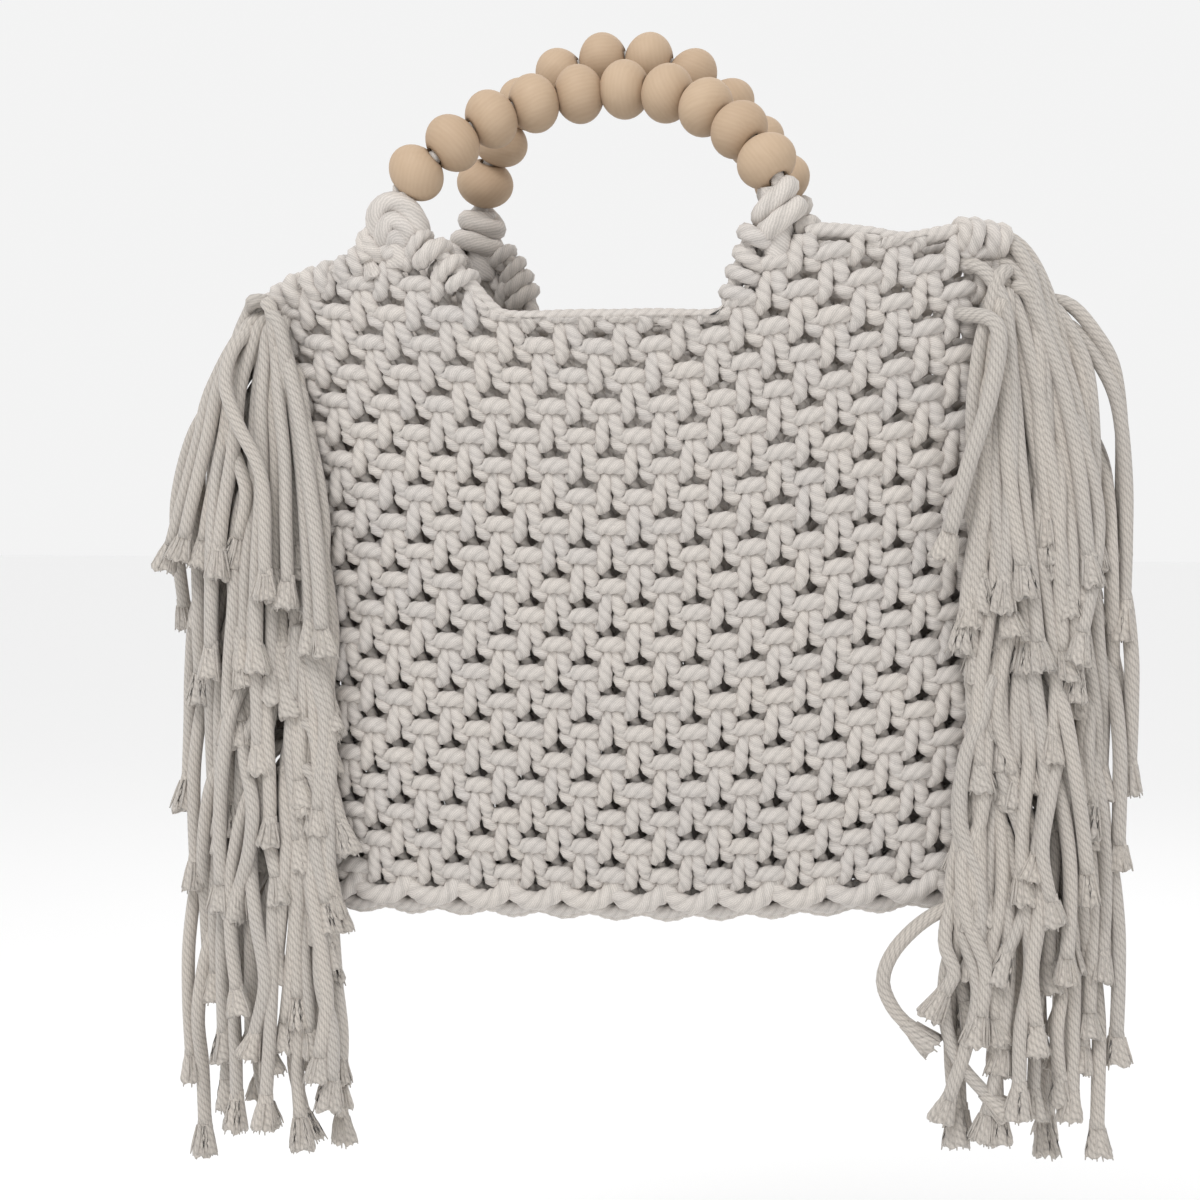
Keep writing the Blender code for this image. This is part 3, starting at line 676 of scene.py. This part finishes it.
def fan_path(outer, inner, number, count, rng):
    """The path of one cord of a fan, every other one lying a little further out."""
    share = number / (count - 1)
    rows = np.array(outer) * (1 - share) + np.array(inner) * share
    down = np.linspace(0, 1, len(rows))
    rows[:, 0] += rng.uniform(-0.0014, 0.0014) * np.minimum(1, down * 2)
    rows[:, 1] -= 0.0034 * (number % 2) * np.minimum(1, down * 5)
    rows[:, 2] -= rng.uniform(-0.006, 0.042) * min(1.0, 0.25 + 2 * share) * down ** 2
    return rows


def loose_cord_to(mesh, rows, rng, sizes):
    """A loose cord through chosen points, with its frayed end."""
    path = smooth_path(rows, 0.0038)
    share = np.linspace(0, 1, len(path))
    radii = sizes.fringe_diameter / 2 * (0.88 + 0.12 * np.minimum(1, share * 8))
    radii = radii * (1 + 0.06 * rng.uniform(-1, 1))
    mesh.add(path, radii, math.inf, rng.uniform(0, 6), rng.random(), sides=8, ply=0.0)
    frayed_end(mesh, path[-1], path[-1] - path[-3], rng, sizes.fray_width / 2,
               sizes.fray_length * rng.uniform(0.8, 1.15), sizes.fray_strands)


def seam_hitches(mesh, side, sizes):
    """The bights that hold the loose cords, round the closed side edge."""
    count = SEAM_ROWS * 2
    for index in range(count):
        rng = seeded("hitch", side, index)
        low = bottom_edge_z(side) + 0.003
        high = MOUTH_Z + PEAK_RISE * HITCH_TOP[side]
        z = low + (high - low) * (index + 0.5) / count
        edge = side_x(side, z)
        rows = []
        for angle in range(-110, 111, 20):
            turn = math.radians(angle)
            rows.append((edge + side * (0.0045 * math.cos(turn) - 0.0030),
                         MID_DEPTH + 0.0105 * math.sin(turn),
                         z + 0.0016 * math.sin(2 * turn) + rng.uniform(-0.0004, 0.0004)))
        rope_along(mesh, rows, sizes.cord_diameter / 2 * 1.06, sizes, f"hitch{side}{index}")


def fringe(side, label, tuft, sizes, finish):
    """Loose cords with frayed ends along one side seam."""
    mesh = CordMesh()
    seam_hitches(mesh, side, sizes)
    for row in range(SEAM_ROWS + TOP_ROWS):
        at_top = row >= SEAM_ROWS
        for number, (fan, reach) in enumerate(tuft):
            if at_top and number in FAN_PLACES:
                continue
            rng = seeded("fringe", label, row, number)
            start = (row + spaced(0.618, row, number)) / SEAM_ROWS
            turn = fan + 28 * (spaced(0.755, number, row) - 0.5)
            share = reach * (0.56 + 0.52 * spaced(0.570, row, number))
            if at_top:
                start = 1.0 - 0.07 * (row - SEAM_ROWS + spaced(0.618, row, number))
                share *= TOP_REACH[side]
            loose_cord_to(mesh, loose_path(side, start, turn, share, rng, sizes), rng, sizes)
    for number, rows in enumerate(STRAYS):
        if rows[0][0] * side > 0:
            loose_cord_to(mesh, rows, seeded("stray", number), sizes)
    for count, outer, inner in FANS:
        if outer[0][0] * side > 0:
            for number in range(count):
                rng = seeded("fan", side, number)
                loose_cord_to(mesh, fan_path(outer, inner, number, count, rng), rng, sizes)
    made = mesh.make(f"{label}_cords", finish)
    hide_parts(label)
    return made


def fill(target, values):
    """A node with these numbers or colours in its inputs."""
    for name, value in values.items():
        target.inputs[name].default_value = value
    return target


def new_material(name, colour):
    """A new material with its shader and the tools to add nodes to it."""
    made = bpy.data.materials.new(name)
    made.use_nodes = True
    made.diffuse_color = (*colour, 1)
    tree = made.node_tree

    def node(kind, **values):
        new = tree.nodes.new(kind)
        for key, value in values.items():
            setattr(new, key, value)
        return new

    def join(source, target, out=0, into=0):
        tree.links.new(source.outputs[out], target.inputs[into])
        return target

    def maths(operation, source, *numbers, out=0):
        new = node("ShaderNodeMath", operation=operation)
        for place, number in enumerate(numbers, 1):
            new.inputs[place].default_value = number
        return join(source, new, out)

    return made, tree.nodes["Principled BSDF"], node, join, maths


def cord_material(name, cool, warm, plies, twist, groove_shade):
    """Matt cotton: painted shade along the yarn lines and in the ply grooves, fibres, warm and
    cool patches, all in its colour.
    """
    made, shader, node, join, maths = new_material(name, cool)
    fill(shader, {"Roughness": 0.92, "Specular IOR Level": 0.18, "Sheen Weight": 0.18,
                  "Sheen Roughness": 0.6})
    place = node("ShaderNodeTexCoord")

    def noise(scale, detail):
        return join(place, fill(node("ShaderNodeTexNoise"), {"Scale": scale, "Detail": detail}), 3)

    split = join(node("ShaderNodeUVMap", uv_map="cord"), node("ShaderNodeSeparateXYZ"))
    # Yarn lines, which slant round the cord and wander: painted shade between the yarns
    slant = maths("ADD", maths("MULTIPLY", split, 34 * math.pi))
    join(maths("MULTIPLY", split, 900.0, out=1), slant, 0, 1)
    wander = maths("MULTIPLY_ADD", noise(520.0, 3.0), 7.0)
    join(slant, wander, 0, 2)
    yarn = fill(join(maths("SINE", wander), node("ShaderNodeMapRange")),
                {"From Min": -1.0, "To Min": 0.86, "To Max": 1.06})
    # Painted shade in the grooves between the plies
    turned = maths("MULTIPLY_ADD", split, plies * twist, out=1)
    join(maths("MULTIPLY", split, plies * math.tau), turned, 0, 2)
    groove = maths("POWER", maths("MULTIPLY_ADD", maths("COSINE", turned), 0.5, 0.5), 2.6)
    painted_shade = maths("MULTIPLY_ADD", groove, -groove_shade)
    join(yarn, painted_shade, 0, 2)
    # Fibres, a random speckle, added to the painted shade
    fibres_and_painted_shade = maths("ADD", maths("MULTIPLY_ADD", noise(2600.0, 4.0), 0.50, -0.25))
    join(painted_shade, fibres_and_painted_shade, 0, 1)
    # Warm and cool patches, and a tone for each cord
    patch = maths("MULTIPLY_ADD", noise(38.0, 2.0), 0.9, -0.22)
    tone = node("ShaderNodeAttribute", attribute_name="tone")
    blend = maths("MULTIPLY_ADD", tone, 0.55, out=2)
    join(patch, blend, 0, 2)
    hue = fill(node("ShaderNodeMix", data_type="RGBA"), {"A": (*cool, 1), "B": (*warm, 1)})
    join(blend, hue)
    value = join(fibres_and_painted_shade, node("ShaderNodeHueSaturation"), 0, "Value")
    join(hue, value, "Result", "Color")
    join(value, shader, 0, "Base Color")
    return made


def wood_material(name, pale, dark):
    """Bare sanded wood: faint grain and lines, and a tone for each bead."""
    made, shader, node, join, maths = new_material(name, pale)
    fill(shader, {"Roughness": 0.62, "Specular IOR Level": 0.28})
    place = node("ShaderNodeAttribute", attribute_name="grain")
    stretch = join(place, fill(node("ShaderNodeMapping"), {"Scale": (160.0, 160.0, 26.0)}), 1)
    grain = join(stretch, node("ShaderNodeTexNoise"))
    fill(grain, {"Scale": 2.2, "Detail": 5.0, "Distortion": 0.8})
    lines = join(stretch, node("ShaderNodeTexWave"))
    fill(lines, {"Scale": 1.1, "Distortion": 5.0, "Detail": 2.0})
    lined = maths("MULTIPLY_ADD", lines, 0.22, out=1)
    join(maths("MULTIPLY_ADD", grain, 0.90, -0.40), lined, 0, 2)
    tone = node("ShaderNodeAttribute", attribute_name="tone")
    blend = maths("MULTIPLY_ADD", tone, 0.60, out=2)
    join(lined, blend, 0, 2)
    hue = fill(node("ShaderNodeMix", data_type="RGBA"), {"A": (*pale, 1), "B": (*dark, 1)})
    join(blend, hue)
    join(hue, shader, "Result", "Base Color")
    return made


def shared_material(name, build, **details):
    """The material of this name, built the first time it is asked for."""
    return bpy.data.materials.get(name) or build(name, **details)


def panel_cord(colours):
    return shared_material("twisted_cotton", cord_material, cool=tuple(colours.cord_cool),
                           warm=tuple(colours.cord_warm), plies=3, twist=0.0, groove_shade=0.13)


# The loose cords are darker than the knot cord, in colour and in deeper groove shade: painted
# shade for the fringe's partial shadow
def loose_cord(colours):
    return shared_material("loose_cotton", cord_material, cool=tuple(colours.shaded_fringe_cool),
                           warm=tuple(colours.shaded_fringe_warm), plies=6, twist=math.tau / 0.0190,
                           groove_shade=0.22)


def bead_wood(colours):
    return shared_material("bare_wood", wood_material, pale=tuple(colours.wood_pale),
                           dark=tuple(colours.wood_dark))


class ToteSizes(bpy.types.PropertyGroup):
    """Sizes of the cords and their ends, and how finely the beads are turned."""

    cord_diameter: FloatProperty(
        name="Knot cord", description="Thickness of the cord in the knots",
        default=0.0058, unit="LENGTH")
    turn_length: FloatProperty(
        name="Turn length", description="Length in which the plies turn once round",
        default=0.0130, unit="LENGTH")
    rim_diameter: FloatProperty(
        name="Rim cord", description="Thickness of the cord along the top edges",
        default=0.0062, unit="LENGTH")
    binding_diameter: FloatProperty(
        name="Binding loops", description="Thickness of the loops along the bottom edge",
        default=0.0080, unit="LENGTH")
    fringe_diameter: FloatProperty(
        name="Fringe cord", description="Thickness of the loose cords",
        default=0.0062, unit="LENGTH")
    fray_width: FloatProperty(
        name="Frayed width", description="Width of a frayed cord end",
        default=0.0125, unit="LENGTH")
    fray_length: FloatProperty(
        name="Frayed length", description="Length of a frayed cord end",
        default=0.013, unit="LENGTH")
    fray_strands: IntProperty(
        name="Frayed yarns", description="Yarns that splay from each cord end",
        default=16, min=1)
    bead_sides: IntProperty(
        name="Bead sides", description="Sides of a bead's outline", default=40, min=12)


class ToteColours(bpy.types.PropertyGroup):
    """Colours of the cotton and the wood."""

    cord_cool: FloatVectorProperty(
        name="Cord, cool", description="Greyer tone of the knotted cord",
        default=(0.545, 0.512, 0.485), subtype="COLOR", min=0, max=1)
    cord_warm: FloatVectorProperty(
        name="Cord, warm", description="Creamier tone of the knotted cord",
        default=(0.590, 0.545, 0.500), subtype="COLOR", min=0, max=1)
    # Darker than the knot cord's colours: painted shade for the fringe's partial shadow
    shaded_fringe_cool: FloatVectorProperty(
        name="Fringe, cool", description="Greyer tone of the loose cord",
        default=(0.462, 0.430, 0.396), subtype="COLOR", min=0, max=1)
    shaded_fringe_warm: FloatVectorProperty(
        name="Fringe, warm", description="Creamier tone of the loose cord",
        default=(0.520, 0.474, 0.424), subtype="COLOR", min=0, max=1)
    wood_pale: FloatVectorProperty(
        name="Wood, pale", description="Paler tone of the beads",
        default=(0.49, 0.366, 0.254), subtype="COLOR", min=0, max=1)
    wood_dark: FloatVectorProperty(
        name="Wood, dark", description="Darker tone of the beads",
        default=(0.43, 0.312, 0.212), subtype="COLOR", min=0, max=1)
    floor: FloatVectorProperty(
        name="Floor", description="Colour of the floor",
        default=(0.97, 0.97, 0.97), subtype="COLOR", min=0, max=1)


def settings():
    return bpy.context.scene.tote_sizes, bpy.context.scene.tote_colours


class TOTE_OT_panels(bpy.types.Operator):
    """Tie the knots of the front and back panels"""

    bl_idname = "tote.panels"
    bl_label = "Knotted Panels"

    def execute(self, context):
        sizes, colours = settings()
        finish = panel_cord(colours)
        for face, label in ((-1, "front"), (1, "back")):
            over, under = knotted_panel(face, label, sizes, finish)
            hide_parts(f"{label}_panel")
            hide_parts(f"{label}_panel")
        return {"FINISHED"}


class TOTE_OT_binding(bpy.types.Operator):
    """Loop the bulky cords that close the bottom edge"""

    bl_idname = "tote.binding"
    bl_label = "Bottom Binding"

    def execute(self, context):
        sizes, colours = settings()
        mesh = CordMesh()
        radius = sizes.binding_diameter / 2
        for face in (-1, 1):
            for index in range(COLUMNS):
                rng = seeded("binding", face, index)
                rows = []
                for across, up, out in BINDING_LOOP:
                    column = np.clip(index + 0.5 + across, 0, COLUMNS)
                    x, z = lattice(column, up + rng.uniform(-0.04, 0.04))
                    rows.append(wall_point(face, x, z, out * MM))
                rope_along(mesh, rows, radius, sizes, f"{face}{index}", plump=0.12)
        for face, drop in UNDERSIDE:
            rows = []
            for step in range(COLUMNS * 2 + 1):
                across = step / COLUMNS - 1
                z = bottom_edge_z(across)
                left, right = side_x(-1, z), side_x(1, z)
                x = left + (right - left) * step / (COLUMNS * 2)
                bob = 0.0012 * (1 if step % 2 else -1)
                rows.append((x, MID_DEPTH + face * 0.0052, z - drop + bob))
            rope_along(mesh, rows, UNDERSIDE_RADIUS, sizes, f"under{face}")
        made = mesh.make("bottom_binding_cords", panel_cord(colours))
        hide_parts("bottom_binding")
        return {"FINISHED"}


def edge_hitches(mesh, face, rows, label, sizes):
    """Fat half hitches side by side over a stretch of a panel's top edge."""
    edge = smooth_path([(x, z, 0.0) for x, z in top_edge_points(face, rows)], HITCH_PITCH)
    for index in range(len(edge)):
        rng = seeded("edge", label, index)
        ahead = edge[min(index + 1, len(edge) - 1)] - edge[max(index - 1, 0)]
        ahead /= np.linalg.norm(ahead)
        up_x, up_z = -ahead[1], ahead[0]
        slant = rng.uniform(-0.0020, 0.0040)
        path = []
        for rise, out, along in HITCH:
            rise = rise * rng.uniform(0.85, 1.12) * MM
            x = edge[index, 0] + up_x * rise + ahead[0] * slant * along
            z = edge[index, 1] + up_z * rise + ahead[1] * slant * along
            path.append(wall_point(face, x, z, out * MM))
        rope_along(mesh, path, sizes.cord_diameter / 2 * rng.uniform(1.0, 1.35), sizes,
                   f"{label}{index}")


class TOTE_OT_rims(bpy.types.Operator):
    """Lay the cords along the top edges"""

    bl_idname = "tote.rims"
    bl_label = "Top Edges"

    def execute(self, context):
        sizes, colours = settings()
        finish = panel_cord(colours)
        radius = sizes.rim_diameter / 2
        stretches = {
            "left_shoulder_rim": (LEFT_SHOULDER, (LEFT_SHOULDER,)),
            "mouth_rim": (MOUTH, (MOUTH[:3], MOUTH[8:])),
            "right_shoulder_rim": (RIGHT_SHOULDER, (RIGHT_SHOULDER[4:6],)),
        }
        for face, label in ((-1, "front"), (1, "back")):
            for stretch, (rows, hitched) in stretches.items():
                mesh = CordMesh()
                for strand, (raised, out) in enumerate(((-0.0004, 1.6), (-0.0012, -2.4))):
                    path = [wall_point(face, x, z + raised, out * MM)
                            for x, z in top_edge_points(face, rows)]
                    rope_along(mesh, path, radius, sizes, f"{label}{stretch}{strand}")
                for number, part in enumerate(hitched):
                    edge_hitches(mesh, face, part, f"{label}{stretch}{number}", sizes)
                made = mesh.make(f"{label}_{stretch}_cords", finish)
                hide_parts(f"{label}_{stretch}")
        return {"FINISHED"}


class TOTE_OT_base_knots(bpy.types.Operator):
    """Wrap the knots that end the bead strings"""

    bl_idname = "tote.base_knots"
    bl_label = "Base Knots"

    def execute(self, context):
        sizes, colours = settings()
        finish = panel_cord(colours)
        for label in ("front", "back"):
            for side in ("left", "right"):
                node = f"{label}_{side}_base_knot"
                low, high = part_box(node)
                mesh = CordMesh()
                if node == "front_left_base_knot":
                    self.folded(mesh, low, high, node, sizes)
                    self.cut_end(mesh, (low + high) / 2, sizes)
                else:
                    self.cone(mesh, low, high, node, sizes)
                made = mesh.make(f"{node}_wraps", finish)
                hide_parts(node)
        return {"FINISHED"}

    @staticmethod
    def placed(middle, table):
        """A table's points, in metres round the knot's middle."""
        return [(middle.x + x * MM, middle.y - out * MM, middle.z + up * MM)
                for x, up, out in table]

    @staticmethod
    def core(mesh, low, high, node, sizes, bow, rise):
        """The cord inside a knot, from the panel up into the lowest bead."""
        middle = (low + high) / 2
        rows = [(middle.x, middle.y, low.z - 0.012), (middle.x, middle.y + bow, middle.z),
                (middle.x, middle.y, high.z + rise)]
        rope_along(mesh, rows, CORE_RADIUS, sizes, node + "core")

    @classmethod
    def folded(cls, mesh, low, high, node, sizes):
        """A fat loop bent over to the left of the string, with smaller ones inside it."""
        middle = (low + high) / 2
        for radius, table in FOLDED_LOOPS:
            rope_along(mesh, cls.placed(middle, table), radius, sizes, f"{node}{radius}",
                       ply=0.05, slack=2.6)
        cls.core(mesh, low, high, node, sizes, 0.001, 0.003)

    @classmethod
    def cone(cls, mesh, low, high, node, sizes):
        """Wraps that lean over towards the beads and widen downwards."""
        middle = (low + high) / 2
        lean = -1 if "right" in node else 1
        steps, turns = 24, 2.4
        rows = []
        for step in range(steps + 1):
            share = step / steps
            turn = 2 * math.pi * turns * share
            reach = 0.0086 - 0.0034 * share
            rows.append((middle.x - lean * 0.0030 + lean * 0.0050 * share + reach * math.cos(turn),
                         middle.y + reach * 0.85 * math.sin(turn),
                         low.z - 0.0020 + 0.0200 * share - lean * 0.0042 * math.cos(turn)))
        rope_along(mesh, rows, WRAP_RADIUS, sizes, node, spacing=0.0024, ply=0.07, slack=1.7)
        cls.core(mesh, low, high, node, sizes, 0.0, 0.001)

    @classmethod
    def cut_end(cls, mesh, middle, sizes):
        """The cord's end that stands out to the left of the knot and hangs down."""
        path = smooth_path(cls.placed(middle, CUT_END), 0.0022)
        rope_along(mesh, path, sizes.fringe_diameter / 2 * 1.1, sizes, "cut_end", ply=0.07)
        frayed_end(mesh, path[-1], path[-1] - path[-3], seeded("cut_end"), 0.0046, 0.0075, 10)


class TOTE_OT_beads(bpy.types.Operator):
    """Turn the wooden beads and run their cords through them"""

    bl_idname = "tote.beads"
    bl_label = "Bead Handles"

    def execute(self, context):
        sizes, colours = settings()
        wood = bead_wood(colours)
        for label in ("front", "back"):
            path = []
            for number in range(1, BEADS + 1):
                node = f"{label}_handle_bead_{number:02d}"
                centre, axis = self.bead_place(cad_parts[node])
                self.turn_bead(node, centre, axis, sizes.bead_sides, wood)
                path += [centre - axis * 0.009, centre, centre + axis * 0.009]
            first = self.cord_exit(*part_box(f"{label}_left_base_knot"))
            last = self.cord_exit(*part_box(f"{label}_right_base_knot"))
            mesh = CordMesh()
            rope_along(mesh, [first, *path, last], HANDLE_CORD_RADIUS, sizes, f"{label}handle")
            made = mesh.make(f"{label}_handle_strand", panel_cord(colours))
            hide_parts(f"{label}_handle_cord")
        return {"FINISHED"}

    @staticmethod
    def cord_exit(low, high):
        """Where the handle's cord leaves a base knot."""
        return np.array(((low.x + high.x) / 2, (low.y + high.y) / 2, high.z - 0.002))

    @staticmethod
    def bead_place(node):
        """The middle and the bore's direction of a bead's solid, pointing to the right."""
        points = np.array([v.co for v in node.data.vertices])
        centre = points.mean(axis=0)
        _, spread, axes = np.linalg.svd(points - centre)
        odd = 0 if spread[0] - spread[1] > spread[1] - spread[2] else 2
        axis = axes[odd] * (1 if axes[odd][0] > 0 else -1)
        return centre, axis

    @staticmethod
    def turn_bead(node, centre, axis, sides, wood):
        """One smooth bead, with a rounded edge at its bore."""
        rng = seeded("bead", node)
        lowest = math.asin((BORE_RADIUS + 0.0008) / BEAD_RADIUS)
        longest = BEAD_HALF_LENGTH / math.cos(lowest)
        outline = []
        for step in range(BEAD_STEPS + 1):
            turn = lowest + (math.pi - 2 * lowest) * step / BEAD_STEPS
            outline.append((BEAD_RADIUS * math.sin(turn), -longest * math.cos(turn)))
        for along in (BEAD_HALF_LENGTH - 0.0012, 0.0, 0.0012 - BEAD_HALF_LENGTH):
            outline.append((BORE_RADIUS, along))
        side = np.cross(axis, (0, 1, 0))
        side /= np.linalg.norm(side)
        up = np.cross(axis, side)
        points, faces, grain = [], [], []
        tilt, shift = rng.uniform(0, math.pi), rng.random()
        for reach, along in outline:
            for step in range(sides):
                turn = 2 * math.pi * step / sides
                first, second = reach * math.cos(turn), reach * math.sin(turn)
                points.append(centre + axis * along + first * side + second * up)
                grain += (first * math.cos(tilt) - along * math.sin(tilt) + shift,
                          second + shift, first * math.sin(tilt) + along * math.cos(tilt))
        rings = len(outline)
        for ring in range(rings):
            for step in range(sides):
                following = (step + 1) % sides
                low, high = ring * sides, (ring + 1) % rings * sides
                faces.append((low + step, low + following, high + following, high + step))
        mesh = bpy.data.meshes.new(node + "_turned")
        mesh.from_pydata([tuple(p) for p in points], [], faces)
        tones = mesh.attributes.new("tone", "FLOAT", "POINT")
        tones.data.foreach_set("value", np.full(len(points), rng.random(), np.float32))
        grains = mesh.attributes.new("grain", "FLOAT_VECTOR", "POINT")
        grains.data.foreach_set("vector", np.array(grain, np.float32))
        mesh.shade_smooth()
        made = add_object(node + "_turned", mesh, wood)
        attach(made, "root")
        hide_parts(node)


class TOTE_OT_fringes(bpy.types.Operator):
    """Hang the loose cords along both side seams"""

    bl_idname = "tote.fringes"
    bl_label = "Side Fringes"

    def execute(self, context):
        sizes, colours = settings()
        finish = loose_cord(colours)
        fringe(-1, "left_fringe", LEFT_TUFT, sizes, finish)
        fringe(1, "right_fringe", RIGHT_TUFT, sizes, finish)
        return {"FINISHED"}


class TOTE_OT_stage(bpy.types.Operator):
    """Set the floor, the light and the camera"""

    bl_idname = "tote.stage"
    bl_label = "Stage"

    def execute(self, context):
        _, colours = settings()
        scene = context.scene
        finish = bpy.data.materials.new("pale_floor")
        finish.use_nodes = True
        shader = finish.node_tree.nodes["Principled BSDF"]
        shader.inputs["Base Color"].default_value = (*colours.floor, 1)
        shader.inputs["Roughness"].default_value = 0.9
        mesh = bpy.data.meshes.new("floor")
        reach, z = FLOOR_REACH, CAD_BOX[0].z - FLOOR_GAP
        mesh.from_pydata([(-reach, -reach, z), (reach, -reach, z), (reach, reach, z),
                          (-reach, reach, z)], [], [(0, 1, 2, 3)])
        floor = add_object("floor", mesh, finish)
        world = bpy.data.worlds.new("studio")
        world.use_nodes = True
        background = world.node_tree.nodes["Background"]
        background.inputs["Color"].default_value = (1.0, 1.0, 1.0, 1)
        background.inputs["Strength"].default_value = 0.90
        scene.world = world
        for name, place, size, power in LIGHTS:
            lamp = bpy.data.lights.new(name, "AREA")
            lamp.energy = power
            lamp.size = size
            self.aim(name, lamp, Vector(place), LIT_PLACE)
        camera = bpy.data.cameras.new("camera")
        camera.lens = camera.sensor_width / 2 / math.tan(VIEW_ANGLE / 2)
        level = math.cos(CAMERA_LIFT)
        back = Vector((math.sin(CAMERA_TURN) * level, -math.cos(CAMERA_TURN) * level,
                       math.sin(CAMERA_LIFT)))
        scene.camera = self.aim("camera", camera, CAMERA_AIM + back, CAMERA_AIM)
        scene.view_settings.view_transform = "Standard"
        return {"FINISHED"}

    @staticmethod
    def aim(name, data, place, target):
        """A light or camera at a place, turned towards its target."""
        made = bpy.data.objects.new(name, data)
        made.location = place
        made.rotation_mode = "QUATERNION"
        made.rotation_quaternion = (target - place).to_track_quat("-Z", "Y")
        bpy.context.scene.collection.objects.link(made)
        return made


class TOTE_PT_panel(bpy.types.Panel):
    """Sizes, colours and the steps that build the bag's looks"""

    bl_idname = "TOTE_PT_panel"
    bl_label = "Knotted Cord Tote"
    bl_space_type = "VIEW_3D"
    bl_region_type = "UI"
    bl_category = "Tote"

    def draw(self, context):
        layout = self.layout
        for group in (context.scene.tote_sizes, context.scene.tote_colours):
            for name in group.__annotations__:
                layout.prop(group, name)
        for step in STEPS:
            layout.operator(step.bl_idname)


STEPS = (TOTE_OT_stage, TOTE_OT_panels, TOTE_OT_binding, TOTE_OT_rims, TOTE_OT_base_knots,
         TOTE_OT_beads, TOTE_OT_fringes)
CLASSES = (ToteSizes, ToteColours, *STEPS, TOTE_PT_panel)


def register():
    for kind in CLASSES:
        bpy.utils.register_class(kind)
    bpy.types.Scene.tote_sizes = PointerProperty(type=ToteSizes)
    bpy.types.Scene.tote_colours = PointerProperty(type=ToteColours)


def unregister():
    del bpy.types.Scene.tote_colours
    del bpy.types.Scene.tote_sizes
    for kind in reversed(CLASSES):
        bpy.utils.unregister_class(kind)


def main():
    """Builds every piece."""
    register()
    bpy.ops.tote.stage()
    bpy.ops.tote.panels()
    bpy.ops.tote.binding()
    bpy.ops.tote.rims()
    bpy.ops.tote.base_knots()
    bpy.ops.tote.beads()
    bpy.ops.tote.fringes()
    bpy.context.view_layer.update()


if __name__ == "__main__":
    main()
